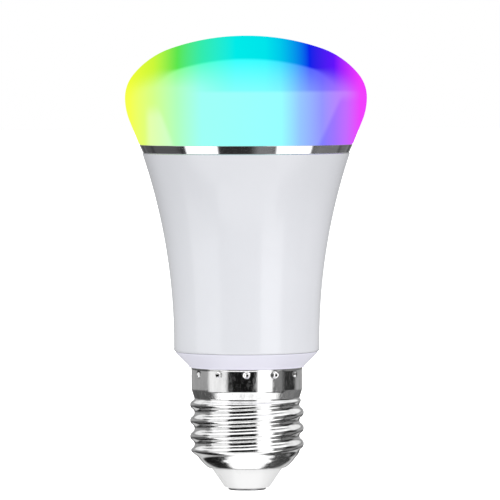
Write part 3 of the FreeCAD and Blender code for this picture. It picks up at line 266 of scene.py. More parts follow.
# %% Make the collar from a merged copy
case_shape = bmesh.new()
case_shape.from_mesh(frame["nodes"]["driver_case"].data)
bmesh.ops.remove_doubles(case_shape, verts=case_shape.verts[:], dist=1e-6)
collar = finished(case_shape, "collar_and_case", "root", "driver_case", 25)

# %% [markdown]
# ## The screw shell
# The shell is drawn from thin sheet and its thread is rolled in, so the thread is a soft wave and
# not a cut. The wave comes up out of a bowl at the bottom and dies away under a plain barrel. A
# ring of punch marks crimps the barrel to the collar's neck.
#
# A fine grid is wrapped round the axis, and each vertex is moved out to the shell's radius at its
# angle and height. That keeps the columns of faces even, so reflections run cleanly along the
# thread. A Solidify modifier then gives the sheet its thickness.

# %% The shell's radius
SHELL_LOW, SHELL_HIGH = 5.2, 28.3
BARREL = 12.75
CREST, DEPTH = 13.1, 1.0
PITCH, PHASE = 3.629, 17.8
CRIMPS, CRIMP_HEIGHT = 12, 27.0
CRIMP_MOUTH, CRIMP_TIP, CRIMP_DEPTH = 0.84, 0.34, 0.4
BOWL_RADIUS, BOWL_HEIGHT, BOWL_ARC = 2.95, 13.14, 10.0
THREAD_IN, THREAD_OUT = (7.4, 9.6), (20.2, 21.2)
RISE_LOW, RISE = 21.1, 2.1
LIP, LIP_SPAN = 0.09, (27.8, 28.15)


def ramp(value, low, high):
    """0 below low, 1 above high, smooth between."""
    share = min(max((value - low) / (high - low), 0.0), 1.0)
    return share * share * (3 - 2 * share)


def thread_radius(angle, height):
    """Equal arcs at crest and root, on a right-hand helix."""
    along = (height - PHASE - PITCH * angle / math.tau) % PITCH
    from_crest = min(along, PITCH - along)
    arc = ((PITCH / 4) ** 2 + (DEPTH / 2) ** 2) / DEPTH
    if from_crest < PITCH / 4:
        return CREST - arc + math.sqrt(arc**2 - from_crest**2)
    return CREST - DEPTH + arc - math.sqrt(arc**2 - (PITCH / 2 - from_crest) ** 2)


def crimp_sink(angle, height):
    """How far a punch mark presses the barrel in, with the small rim that the punch raises."""
    step = math.tau / CRIMPS
    aside = (angle + math.pi / 2 + step / 2) % step - step / 2
    away = math.hypot(aside * BARREL, height - CRIMP_HEIGHT)
    pressed = 1.0 - ramp(away, CRIMP_TIP, CRIMP_MOUTH)
    rim = math.exp(-(((away - CRIMP_MOUTH) / 0.13) ** 2))
    return CRIMP_DEPTH * pressed - 0.02 * rim


def shell_radius(angle, height):
    """Bowl, thread and barrel, run into each other, and a slight lip round the top."""
    root = CREST - DEPTH
    below = max(BOWL_HEIGHT - height, 0.0)
    bowl = min(BOWL_RADIUS + math.sqrt(BOWL_ARC**2 - below**2), root)
    thread = thread_radius(angle, height)
    thread += (root - thread) * ramp(height, *THREAD_OUT)
    lower = bowl + (thread - bowl) * ramp(height, *THREAD_IN)
    rising = min(max((height - RISE_LOW) / RISE, 0.0), 1.0)
    plain = lower + (BARREL - lower) * rising
    return plain - crimp_sink(angle, height) + LIP * ramp(height, *LIP_SPAN)


# %% Wrap and finish the shell
COLUMNS, ROWS, FINE_ROWS = 384, 112, 24
FINE_FROM = 25.9
shell = bmesh.new()
bmesh.ops.create_grid(shell, x_segments=COLUMNS, y_segments=ROWS, size=0.5)
for vert in shell.verts:
    # columns crowd together at the crimps, and rows do so from just below them
    angle = (vert.co.x + 0.5) * math.tau
    angle += 0.5 / CRIMPS * math.sin(CRIMPS * angle)
    row = round((vert.co.y + 0.5) * ROWS)
    if row < ROWS - FINE_ROWS:
        height = SHELL_LOW + row / (ROWS - FINE_ROWS) * (FINE_FROM - SHELL_LOW)
    else:
        height = FINE_FROM + (row - ROWS + FINE_ROWS) / FINE_ROWS * (SHELL_HIGH - FINE_FROM)
    radius = shell_radius(angle, height)
    vert.co = (radius * math.cos(angle) * MM, radius * math.sin(angle) * MM, height * MM)
bmesh.ops.remove_doubles(shell, verts=shell.verts[:], dist=1e-7)
if sum(face.normal.dot(face.calc_center_median() * Vector((1, 1, 0))) for face in shell.faces) < 0:
    bmesh.ops.reverse_faces(shell, faces=shell.faces[:])
screw_shell = finished(shell, "cap_shell", "root", "screw_shell", 70)
sheet = screw_shell.modifiers.new("Sheet thickness", "SOLIDIFY")
sheet.thickness = 0.35 * MM
sheet.offset = -1.0

# %% [markdown]
# ## The insulator and the contact
# A white cone holds the contact clear of the shell. Its flange sits inside the bowl. The contact
# is a flat-headed pin with a rounded edge, and it is the point that the bulb stands on.

# %% Make the insulator and the contact
SHANK, SHANK_HOLE, SHANK_TOP = 1.5, 1.55, 8.2
HEAD, HEAD_EDGE, HEAD_THICKNESS = 4.35, 0.35, 0.4
LEAD_HOLE, LEAD_HOLE_LOW = 0.45, 5.0
FLANGE = 10.3
insulator_outline = outline_at(SHANK_HOLE, 0.45)
for radius, height in (
    (4.6, 0.45),
    (4.98, 0.55),
    (5.25, 0.74),
    (5.4, 0.95),
    (8.2, 5.05),
    (8.35, 5.2),
    (8.6, 5.3),
    (9.95, 6.45),
    (FLANGE, 7.2),
    (FLANGE, SHANK_TOP),
    (SHANK_HOLE, SHANK_TOP),
):
    run_to(insulator_outline, radius, height)
insulator = turned(
    insulator_outline, "insulator", node="cap_insulator", crease=35
)

contact_outline = outline_at(0, 0)
run_to(contact_outline, HEAD - HEAD_EDGE, 0)
arc_about(contact_outline, (HEAD - HEAD_EDGE, HEAD_EDGE), -90, 6)
for radius, height in (
    (HEAD, HEAD_THICKNESS),
    (SHANK, HEAD_THICKNESS),
    (SHANK, SHANK_TOP),
    (LEAD_HOLE, SHANK_TOP),
    (LEAD_HOLE, LEAD_HOLE_LOW),
    (0, LEAD_HOLE_LOW),
):
    run_to(contact_outline, radius, height)
contact = turned(contact_outline, "contact", node="centre_contact")

# %% [markdown]
# ## Finishes
# Every finish is made of nodes. Two effects turn up in most of them, so each is built once as a
# node group. "Surface grain" is the fine unevenness of a moulded or cast surface. "Hairlines" are
# the fine parallel marks that drawing, spinning or polishing leaves in metal. A group only puts
# out values, and each material decides what they drive.

# %% Node helpers
def node_of(tree, kind, **values):
    """Adds a node. Keyword values that name a socket set it, and the others set a property."""
    made = tree.nodes.new(kind)
    for name, value in values.items():
        setattr(made, name, value)
    return made


def set_inputs(node, **values):
    """Sets sockets by name, with underscores for spaces."""
    for name, value in values.items():
        node.inputs[name.replace("_", " ")].default_value = value
    return node


def math_node(tree, operation, first, second=None, clamp=False):
    """A Math node. Its arguments are sockets or numbers, and it gives its output socket."""
    made = node_of(tree, "ShaderNodeMath", operation=operation, use_clamp=clamp)
    for socket, value in zip(made.inputs, (first, second)):
        if value is None:
            continue
        if isinstance(value, (int, float)):
            socket.default_value = value
        else:
            tree.links.new(value, socket)
    return made.outputs[0]


def smooth_range(tree, value, low, high, to_low=0.0, to_high=1.0):
    """A smooth step of a socket's value from low to high."""
    made = node_of(tree, "ShaderNodeMapRange", interpolation_type="SMOOTHSTEP")
    tree.links.new(value, made.inputs["Value"])
    set_inputs(made, From_Min=low, From_Max=high, To_Min=to_low, To_Max=to_high)
    return made.outputs["Result"]


def mixed(tree, factor, first, second, blend="MIX"):
    """A colour mix. Arguments are sockets or RGB values."""
    made = node_of(tree, "ShaderNodeMix", data_type="RGBA", blend_type=blend)
    for socket, value in zip((made.inputs[n] for n in (0, 6, 7)), (factor, first, second)):
        if isinstance(value, (int, float)):
            socket.default_value = value
        elif isinstance(value, tuple):
            socket.default_value = (*value, 1.0)
        else:
            tree.links.new(value, socket)
    return made.outputs[2]


def linear(red, green, blue):
    """A screen colour, in the linear values that nodes work in."""
    return tuple(
        c / 12.92 if c <= 0.04045 else ((c + 0.055) / 1.055) ** 2.4 for c in (red, green, blue)
    )


# %% The two shared effects
def value_group(name, inputs, outputs):
    """An empty node group with float sockets, and its input and output nodes."""
    group = bpy.data.node_groups.new(name, "ShaderNodeTree")
    sockets = group.interface
    sockets.new_socket("Vector", in_out="INPUT", socket_type="NodeSocketVector")
    for label, value in inputs:
        made = sockets.new_socket(label, in_out="INPUT", socket_type="NodeSocketFloat")
        made.default_value = value
    for label in outputs:
        sockets.new_socket(label, in_out="OUTPUT", socket_type="NodeSocketFloat")
    return group, group.nodes.new("NodeGroupInput"), group.nodes.new("NodeGroupOutput")


def grain_group():
    """Fine grain for bump, and a slow blotch for colour and roughness. Size is in 1/m."""
    inputs = [("Size", 6000.0), ("Blotch Size", 90.0)]
    group, given, out = value_group("Surface grain", inputs, ["Grain", "Blotch"])
    for label, size, detail in (("Grain", "Size", 3.0), ("Blotch", "Blotch Size", 4.0)):
        noise = node_of(group, "ShaderNodeTexNoise")
        set_inputs(noise, Detail=detail, Roughness=0.55)
        group.links.new(given.outputs["Vector"], noise.inputs["Vector"])
        group.links.new(given.outputs[size], noise.inputs["Scale"])
        group.links.new(noise.outputs[0], out.inputs[label])
    return group


def hairline_group():
    """Marks that run along one direction. The vector is squeezed before it reaches the group."""
    group, given, out = value_group("Hairlines", [("Size", 2500.0)], ["Lines", "Patches"])
    lines = node_of(group, "ShaderNodeTexNoise")
    set_inputs(lines, Detail=5.0, Roughness=0.7)
    group.links.new(given.outputs["Vector"], lines.inputs["Vector"])
    group.links.new(given.outputs["Size"], lines.inputs["Scale"])
    patches = node_of(group, "ShaderNodeTexNoise")
    set_inputs(patches, Detail=2.0, Scale=140.0)
    group.links.new(given.outputs["Vector"], patches.inputs["Vector"])
    group.links.new(lines.outputs[0], out.inputs["Lines"])
    group.links.new(patches.outputs[0], out.inputs["Patches"])
    return group


GRAIN, HAIRLINES = grain_group(), hairline_group()
print("groups:", GRAIN.name, "and", HAIRLINES.name)


# %% Starting a material
def new_finish(name):
    """A material with its tree, its Principled shader and its Object coordinates."""
    finish = bpy.data.materials.new(name)
    finish.use_nodes = True
    tree = finish.node_tree
    shader = tree.nodes["Principled BSDF"]
    place = node_of(tree, "ShaderNodeTexCoord").outputs["Object"]
    return finish, tree, shader, place


def add_group(tree, group, vector, **values):
    """Places a shared group in a material."""
    made = node_of(tree, "ShaderNodeGroup", node_tree=group)
    tree.links.new(vector, made.inputs["Vector"])
    return set_inputs(made, **values)


def add_bump(tree, shader, height, distance, strength=1.0):
    """Drives the shader's normal with a height."""
    bump = set_inputs(node_of(tree, "ShaderNodeBump"), Distance=distance, Strength=strength)
    tree.links.new(height, bump.inputs["Height"])
    tree.links.new(bump.outputs["Normal"], shader.inputs["Normal"])


def squeezed(tree, vector, scale):
    """Object coordinates stretched so that a noise becomes lines."""
    mapping = node_of(tree, "ShaderNodeMapping")
    tree.links.new(vector, mapping.inputs["Vector"])
    mapping.inputs["Scale"].default_value = scale
    return mapping.outputs["Vector"]


# %% [markdown]
# ## The glowing dome
# Inside the real bulb, LEDs of several colours light the milky wall, so the colour changes across
# the dome: yellow, green, cyan, blue and magenta. The light is deepest at the crown. Lower down,
# a painted reflection makes it much paler. The painted reflection has an arched upper edge that
# sinks towards the sides, a second soft step below it, and a bright streak low on the left, which
# is a painted reflection of a window.
#
# The colour is a ramp across the dome. The painted reflection is built up from a few soft steps,
# each of them a plain function of the place on the dome, and both feed the emission of a plastic
# whose own specular is turned off, so that its gloss is painted.

# %% Steps and blends
def straight_range(tree, value, low, high, to_low=0.0, to_high=1.0):
    """A straight, clamped step of a socket's value from low to high."""
    made = node_of(tree, "ShaderNodeMapRange", clamp=True)
    tree.links.new(value, made.inputs["Value"])
    set_inputs(made, From_Min=low, From_Max=high, To_Min=to_low, To_Max=to_high)
    return made.outputs["Result"]


def leaning(tree, across, up, slope):
    """Distance across the dome, measured from a line that leans by slope."""
    shift = math_node(tree, "MULTIPLY", up, slope)
    return math_node(tree, "ADD", across, shift)


def ramp_of(tree, value, stops):
    """A colour ramp. Each stop is a position and a screen colour."""
    made = node_of(tree, "ShaderNodeValToRGB")
    tree.links.new(value, made.inputs[0])
    while len(made.color_ramp.elements) < len(stops):
        made.color_ramp.elements.new(0.5)
    for element, (position, colour) in zip(made.color_ramp.elements, stops):
        element.position = position
        element.color = (*linear(*colour), 1.0)
    return made.outputs["Color"]


def blotched(tree, group, low, high):
    """A value that drifts between low and high with a group's blotch."""
    return straight_range(tree, group.outputs["Blotch"], 0.3, 0.7, low, high)


# %% Dome colours
# The LED colours, from the yellow side across: deep at the crown, and, on the flank,
# paled by the painted reflection.
CROWN = [
    (0.00, (0.96, 0.99, 0.22)),  # yellow
    (0.12, (0.79, 0.96, 0.22)),  # lime
    (0.22, (0.39, 0.98, 0.34)),  # green
    (0.32, (0.22, 1.00, 0.74)),  # sea green
    (0.46, (0.00, 1.00, 0.99)),  # cyan
    (0.58, (0.00, 0.97, 1.00)),
    (0.64, (0.00, 0.86, 1.00)),  # sky blue
    (0.76, (0.04, 0.16, 1.00)),  # deep blue
    (0.86, (0.38, 0.08, 0.98)),  # violet
    (0.97, (0.94, 0.22, 0.98)),  # magenta
]
PAINTED_REFLECTION_RAMP = [
    (0.02, (0.96, 0.99, 0.30)),  # yellow
    (0.12, (0.83, 1.00, 0.53)),  # lime
    (0.22, (0.69, 1.00, 0.74)),  # green
    (0.32, (0.62, 1.00, 0.96)),  # sea green
    (0.64, (0.59, 1.00, 1.00)),  # cyan
    (0.72, (0.58, 0.77, 1.00)),  # sky blue
    (0.81, (0.58, 0.58, 1.00)),  # lilac
    (0.91, (0.78, 0.48, 1.00)),  # violet
    (0.97, (0.93, 0.26, 0.98)),  # magenta
]


# %% Dome finish
# these sizes place the painted reflection on the dome: its arch, fade and step, its leaning right
# edge, and the painted window streak
ARCH_TOP, ARCH_SAG = 99.1, 9.6  # height of the arch on the axis, and how fast it sinks, in 1/m
ARCH_SIDES = 15.0, 21.5  # between these distances from the axis the arch turns soft
FADE_TOP, STEP_TOP, STEP_LOW = 99.0, 92.3, 91.3
RIGHT_LEAN, WINDOW_REFLECTION_LEAN = -0.47, 0.37


def dome_finish():
    """Milky plastic glowing in the ramp colours, paled below the arch by a painted reflection."""
    finish, tree, shader, place = new_finish("Glowing milky plastic with painted reflection")
    axes = node_of(tree, "ShaderNodeSeparateXYZ")
    tree.links.new(place, axes.inputs[0])
    across, up = axes.outputs["X"], axes.outputs["Z"]
    share = straight_range(tree, across, -27.8 * MM, 27.8 * MM)

    # painted reflection: the arched edge, the slow fade under it, and the lower step, which is
    # missing on the left
    squared = math_node(tree, "MULTIPLY", across, across)
    level = math_node(tree, "ADD", up, math_node(tree, "MULTIPLY", squared, ARCH_SAG))
    inner, outer = (side * MM for side in ARCH_SIDES)
    beside = smooth_range(tree, math_node(tree, "ABSOLUTE", across), inner, outer)
    spread = math_node(tree, "ADD", math_node(tree, "MULTIPLY", beside, 6.0), 1.0)
    height = math_node(tree, "DIVIDE", math_node(tree, "SUBTRACT", level, ARCH_TOP * MM), spread)
    painted_reflection_arch = smooth_range(tree, height, -0.4 * MM, 0.4 * MM, 1.0, 0.0)
    reflection_fade = straight_range(tree, up, FADE_TOP * MM, 92.4 * MM, 0.12, 0.62)
    step = smooth_range(tree, up, STEP_TOP * MM, STEP_LOW * MM, 0.0, 0.38)
    plain = straight_range(tree, up, FADE_TOP * MM, 92.6 * MM, 0.12, 1.0)
    onward = smooth_range(tree, across, -15.0 * MM, -3.0 * MM)
    stepped = math_node(tree, "MULTIPLY", math_node(tree, "ADD", reflection_fade, step), onward)
    kept = math_node(tree, "MULTIPLY", plain, math_node(tree, "SUBTRACT", 1.0, onward))
    painted_reflection = math_node(tree, "MULTIPLY", math_node(tree, "ADD", stepped, kept), painted_reflection_arch)

    # the painted reflection's leaning right edge, past which the flank is a little deeper again
    edge = smooth_range(tree, leaning(tree, across, up, RIGHT_LEAN), -21.6 * MM, -20.2 * MM)
    edge = math_node(tree, "MULTIPLY", edge, smooth_range(tree, up, 91.5 * MM, 89.0 * MM))
    edge = math_node(tree, "MULTIPLY", edge, 0.3)
    painted_reflection = math_node(tree, "SUBTRACT", painted_reflection, edge, clamp=True)

    # the streak on the left, a painted reflection of a window
    window_reflection = smooth_range(tree, across, -23.3 * MM, -21.5 * MM)
    lean = leaning(tree, across, up, WINDOW_REFLECTION_LEAN)
    inside = smooth_range(tree, lean, 12.2 * MM, 13.6 * MM, 1.0, 0.0)
    window_reflection = math_node(tree, "MULTIPLY", window_reflection, inside)
    window_reflection = math_node(tree, "MULTIPLY", window_reflection, smooth_range(tree, up, 89.5 * MM, 85.5 * MM))

    # the glow is dimmed at the crown's centre, above the painted reflection's arch and away from
    # the sides
    lit = math_node(tree, "MAXIMUM", painted_reflection_arch, beside)
    dimmed = mixed(tree, lit, (0.81, 0.81, 0.81), (1.0, 1.0, 1.0))
    crown = mixed(tree, 1.0, ramp_of(tree, share, CROWN), dimmed, "MULTIPLY")
    # the painted reflection pales the glow towards the ramp of pale colours
    glow_and_painted_reflection = mixed(tree, painted_reflection, crown, ramp_of(tree, share, PAINTED_REFLECTION_RAMP))
    # the painted window reflection whitens the glow
    glow_and_painted_reflection = mixed(tree, math_node(tree, "MULTIPLY", window_reflection, 0.24), glow_and_painted_reflection, (1.0, 1.0, 1.0))

    grain = add_group(tree, GRAIN, place, Size=900.0, Blotch_Size=60.0)
    shade = node_of(tree, "ShaderNodeHueSaturation")
    tree.links.new(glow_and_painted_reflection, shade.inputs["Color"])
    tree.links.new(blotched(tree, grain, 0.985, 1.0), shade.inputs["Value"])
    tree.links.new(shade.outputs["Color"], shader.inputs["Emission Color"])
    faint = mixed(tree, 0.97, shade.outputs["Color"], (0.0, 0.0, 0.0))
    tree.links.new(faint, shader.inputs["Base Color"])
    tree.links.new(blotched(tree, grain, 0.26, 0.34), shader.inputs["Roughness"])
    set_inputs(shader, Emission_Strength=1.0, Specular_IOR_Level=0.0)
    add_bump(tree, shader, grain.outputs["Grain"], 0.01 * MM, 0.2)
    return finish


dome.data.materials.append(dome_finish())

# %% [markdown]
# ## Plastics and metals
# Two recipes cover the rest. Moulded plastic has a slow blotch in colour and gloss and a fine
# grain. Metal has hairlines that run round or along the piece, and patches where it has been
# handled.

# %% Recipes
def plastic(name, colour, roughness=0.35, grain=9000.0, bump=0.004, spread=0.03, coat=0.0):
    """Moulded or painted plastic, rubber, ceramic or epoxy."""
    finish, tree, shader, place = new_finish(name)
    made = add_group(tree, GRAIN, place, Size=grain, Blotch_Size=120.0)
    light = linear(*colour)
    dark = tuple(c * (1 - 2 * spread) for c in light)
    shades = mixed(tree, blotched(tree, made, 0.0, 1.0), light, dark)
    gloss = blotched(tree, made, roughness - 0.03, roughness + 0.05)
    tree.links.new(shades, shader.inputs["Base Color"])
    tree.links.new(gloss, shader.inputs["Roughness"])
    set_inputs(shader, Coat_Weight=coat, Coat_Roughness=0.08)
    add_bump(tree, shader, made.outputs["Grain"], bump * MM)
    return finish


SPUN, DRAWN, EVEN = (1.0, 1.0, 30.0), (1.0, 8.0, 1.0), (1.0, 1.0, 1.0)


def metal(name, colour, roughness, squeeze, size, bump, wear):
    """Drawn, spun, plated or polished metal. Squeeze gives its hairlines their direction."""
    finish, tree, shader, place = new_finish(name)
    made = add_group(tree, HAIRLINES, squeezed(tree, place, squeeze), Size=size)
    bright = linear(*colour)
    dull = tuple(c * 0.86 for c in bright)
    patches = straight_range(tree, made.outputs["Patches"], 0.35, 0.7)
    tree.links.new(mixed(tree, patches, bright, dull), shader.inputs["Base Color"])
    lines = straight_range(tree, made.outputs["Lines"], 0.35, 0.65, roughness, roughness + wear)
    tree.links.new(lines, shader.inputs["Roughness"])
    set_inputs(shader, Metallic=1.0)
    add_bump(tree, shader, made.outputs["Lines"], bump * MM)
    return finish


# %% Finishes of the outer pieces
POLISHED, UPRIGHT = (1.0, 1.0, 25.0), (4.0, 4.0, 1.0)
WHITE_METAL = (0.95, 0.95, 0.95)
satin_and_painted_shade = plastic("Satin white housing with painted shade", (0.885, 0.89, 0.91), 0.22, 5000.0, 0.003, 0.01, 0.4)
# painted shade: the flare's colour is a touch darker towards the trim band, where it faces down
tree, shader = satin_and_painted_shade.node_tree, satin_and_painted_shade.node_tree.nodes["Principled BSDF"]
moulded = shader.inputs["Base Color"].links[0].from_socket
axes = node_of(tree, "ShaderNodeSeparateXYZ")
tree.links.new(node_of(tree, "ShaderNodeTexCoord").outputs["Object"], axes.inputs[0])
painted_shade_mask = smooth_range(tree, axes.outputs["Z"], 48.0 * MM, 76.0 * MM)
painted_shade_colour = mixed(tree, painted_shade_mask, moulded, (0.925, 0.925, 0.925), "MULTIPLY")
tree.links.new(painted_shade_colour, shader.inputs["Base Color"])

collar.data.materials.clear()
for piece, finish in (
    (housing, satin_and_painted_shade),
    (collar, plastic("White collar", (0.92, 0.915, 0.965), 0.35, 5000.0, 0.003, 0.01)),
    (insulator, plastic("White insulator", (0.96, 0.96, 0.96), 0.28, 4000.0, 0.004, 0.01, 0.3)),
    (trim_band, metal("Polished trim", (0.93, 0.93, 0.94), 0.05, POLISHED, 400.0, 0.0006, 0.05)),
    (screw_shell, metal("Bright nickel plate", WHITE_METAL, 0.04, UPRIGHT, 700.0, 0.0022, 0.22)),
    (contact, metal("Tinned contact", (0.62, 0.62, 0.63), 0.3, EVEN, 900.0, 0.004, 0.15)),
):
    piece.data.materials.append(finish)

# %% [markdown]
# ## What is inside
# The pieces inside keep their CAD shapes, and each gets the finish that its real counterpart
# has: solder mask with copper under it on the boards, enamelled wire on the windings, sintered
# ferrite, moulded epoxy, shrink sleeves and tinned pins.

# %% Boards and windings
def board(name, mask, copper, size=420.0):
    """Solder mask that shows the copper under it as paler, slightly raised shapes."""
    finish, tree, shader, place = new_finish(name)
    tracks = node_of(tree, "ShaderNodeTexVoronoi", feature="DISTANCE_TO_EDGE")
    tree.links.new(place, tracks.inputs["Vector"])
    set_inputs(tracks, Scale=size, Randomness=0.6)
    edge = straight_range(tree, tracks.outputs["Distance"], 0.06, 0.09)
    made = add_group(tree, GRAIN, place, Size=7000.0, Blotch_Size=200.0)
    tinted = mixed(tree, edge, linear(*mask), linear(*copper))
    uneven = mixed(tree, 0.12, tinted, made.outputs["Blotch"], "OVERLAY")
    tree.links.new(uneven, shader.inputs["Base Color"])
    tree.links.new(blotched(tree, made, 0.28, 0.4), shader.inputs["Roughness"])
    add_bump(tree, shader, edge, 0.03 * MM, 0.6)
    return finish


def winding(name, wire):
    """Turns of enamelled wire, side by side along the axis, with painted shade between the turns.
    """
    finish, tree, shader, place = new_finish(name)
    turns = node_of(tree, "ShaderNodeTexWave", wave_type="BANDS", bands_direction="Z")
    tree.links.new(place, turns.inputs["Vector"])
    set_inputs(turns, Scale=900.0, Distortion=0.6, Detail=1.0)
    # painted shade: the wire's colour darkens to about a third between the turns
    light = linear(*wire)
    dark = tuple(c * 0.35 for c in light)
    tree.links.new(mixed(tree, turns.outputs["Fac"], dark, light), shader.inputs["Base Color"])
    gloss = straight_range(tree, turns.outputs["Fac"], 0.0, 1.0, 0.5, 0.25)
    tree.links.new(gloss, shader.inputs["Roughness"])
    set_inputs(shader, Metallic=0.9)
    add_bump(tree, shader, turns.outputs["Fac"], 0.06 * MM)
    return finish


# %% A finish for each slot
INNER = {
    "silicone": plastic("Silicone", (0.88, 0.89, 0.9), 0.55, 3000.0, 0.01),
    "aluminium": metal("Spun aluminium", (0.82, 0.83, 0.85), 0.32, SPUN, 500.0, 0.006, 0.12),
    "thermal_pad": plastic("Thermal pad", (0.62, 0.66, 0.7), 0.8, 4000.0, 0.02, 0.05),
    "led_board_mask": board("White solder mask", (0.93, 0.93, 0.92), (0.88, 0.88, 0.86)),
    "screw_steel": metal("Zinc-plated steel", (0.75, 0.76, 0.78), 0.3, EVEN, 1200.0, 0.004, 0.1),
    "led_body": plastic("LED moulding", (0.92, 0.92, 0.9), 0.45, 8000.0, 0.003),
    "phosphor": plastic("Phosphor", (0.94, 0.82, 0.3), 0.6, 12000.0, 0.01, 0.08),
    "clear_resin": plastic("Clear resin", (0.86, 0.89, 0.9), 0.08, 3000.0, 0.002, 0.02, 1.0),
    "radio_board_mask": board("Blue solder mask", (0.03, 0.16, 0.36), (0.08, 0.28, 0.5)),
    "driver_board_mask": board("Green solder mask", (0.03, 0.22, 0.1), (0.12, 0.42, 0.2), 260.0),
    "chip_black": plastic("Moulded epoxy", (0.09, 0.09, 0.095), 0.55, 12000.0, 0.008, 0.1),
    "can_metal": metal("Drawn can", (0.8, 0.8, 0.78), 0.25, DRAWN, 900.0, 0.003, 0.1),
    "gold_copper": metal("Gold-plated foil", (0.92, 0.74, 0.38), 0.22, EVEN, 1500.0, 0.002, 0.1),
    "pin_metal": metal("Tinned pins", (0.84, 0.83, 0.8), 0.25, (1.0, 1.0, 6.0), 1200.0, 0.002, 0.1),
    "ferrite": plastic("Ferrite", (0.2, 0.2, 0.21), 0.6, 9000.0, 0.02, 0.12),
    "bobbin_plastic": plastic("Bobbin moulding", (0.14, 0.14, 0.145), 0.4, 7000.0, 0.005, 0.08),
    "winding_copper": winding("Enamelled wire", (0.85, 0.45, 0.24)),
    "cap_sleeve": plastic("Shrink sleeve", (0.1, 0.13, 0.24), 0.25, 3000.0, 0.003, 0.06, 0.4),
    "resistor_coat": plastic("Cement coat", (0.58, 0.7, 0.63), 0.7, 7000.0, 0.015, 0.06),
    "film_yellow": plastic("Yellow casing", (0.88, 0.66, 0.16), 0.3, 4000.0, 0.004, 0.04, 0.2),
    "varistor_blue": plastic("Blue epoxy coat", (0.12, 0.32, 0.66), 0.3, 2500.0, 0.012, 0.06, 0.3),
    "ceramic_tan": plastic("Fired ceramic", (0.68, 0.58, 0.44), 0.6, 9000.0, 0.006, 0.06),
    "lead_red": plastic("Red insulation", (0.76, 0.1, 0.09), 0.35, 4000.0, 0.004, 0.04),
    "lead_blue": plastic("Blue insulation", (0.12, 0.25, 0.7), 0.35, 4000.0, 0.004, 0.04),
}
slots = {part["node"]: part["material_slot"] for part in frame["record"]["subparts"]}
kept = [name for name, node in frame["nodes"].items() if not node.hide_render]
for name in kept:
    mesh = frame["nodes"][name].data
    mesh.materials.clear()
    mesh.materials.append(INNER[slots[name]])
print(f"{len(kept)} CAD nodes keep their shape and have a finish")

# %% [markdown]
# ## Floor, light and camera
# The bulb stands on a plain white floor that runs into a white background. Bright metal only
# looks like metal when it has both light and dark to reflect, so the light comes from a studio
# that is drawn into the world: tall soft boxes to the left and right of the view, dimmer ones
# behind, more overhead, a pale glow from below, and darkness between them.
#
# Only reflections see the soft boxes. Rays from the camera see plain white instead, and rays that
# bounce off a dull surface see an even fill, a little brighter in front, so that the plastics are
# lit softly whatever the metal needs. Two lamps give the housing its shading.

# %% Floor
floor_shape = bmesh.new()
bmesh.ops.create_circle(floor_shape, cap_ends=True, radius=6.0, segments=64)
floor_mesh = bpy.data.meshes.new("floor")
floor_shape.to_mesh(floor_mesh)
floor_shape.free()
floor = bpy.data.objects.new("floor", floor_mesh)
bpy.context.scene.collection.objects.link(floor)
floor.visible_glossy = False
floor.visible_diffuse = False
floor.visible_shadow = False

paper, tree, shader, place = new_finish("White paper")
paper_grain = add_group(tree, GRAIN, place, Size=400.0, Blotch_Size=3.0)
tree.links.new(blotched(tree, paper_grain, 0.85, 0.95), shader.inputs["Roughness"])
set_inputs(shader, Base_Color=(0.9, 0.9, 0.9, 1.0))
set_inputs(shader, Emission_Color=(1.0, 1.0, 1.0, 1.0), Emission_Strength=0.75)
# the floor is only paper from above, so that the bulb can also be looked at from below
below = node_of(tree, "ShaderNodeNewGeometry").outputs["Backfacing"]
clear = node_of(tree, "ShaderNodeBsdfTransparent")
either = node_of(tree, "ShaderNodeMixShader")
tree.links.new(below, either.inputs[0])
tree.links.new(shader.outputs[0], either.inputs[1])
tree.links.new(clear.outputs[0], either.inputs[2])
tree.links.new(either.outputs[0], tree.nodes["Material Output"].inputs["Surface"])
floor.data.materials.append(paper)

# %% Studio
world = bpy.data.worlds.new("Studio")
bpy.context.scene.world = world
world.use_nodes = True
sky = world.node_tree
sky.nodes.clear()
direction = node_of(sky, "ShaderNodeSeparateXYZ")
sky.links.new(node_of(sky, "ShaderNodeTexCoord").outputs["Generated"], direction.inputs[0])
to_front = math_node(sky, "MULTIPLY", direction.outputs["Y"], -1.0)
radians_round = math_node(sky, "ARCTAN2", direction.outputs["X"], to_front)
azimuth = math_node(sky, "DEGREES", radians_round)
elevation = math_node(sky, "DEGREES", math_node(sky, "ARCSINE", direction.outputs["Z"]))


def window(value, low, high, soft=3.0):
    """1 between low and high degrees, with soft edges."""
    rise = smooth_range(sky, value, low - soft, low + soft)
    fall = smooth_range(sky, value, high - soft, high + soft, 1.0, 0.0)
    return math_node(sky, "MULTIPLY", rise, fall)


def soft_box(strength, turn, height, soft=3.0):
    """A soft box that covers a span of azimuth and of elevation."""
    lit = math_node(sky, "MULTIPLY", window(azimuth, *turn, soft), window(elevation, *height, soft))
    return math_node(sky, "MULTIPLY", lit, strength)


LEVEL, LEVEL_BACK = (-24, 27), (-7, 12)
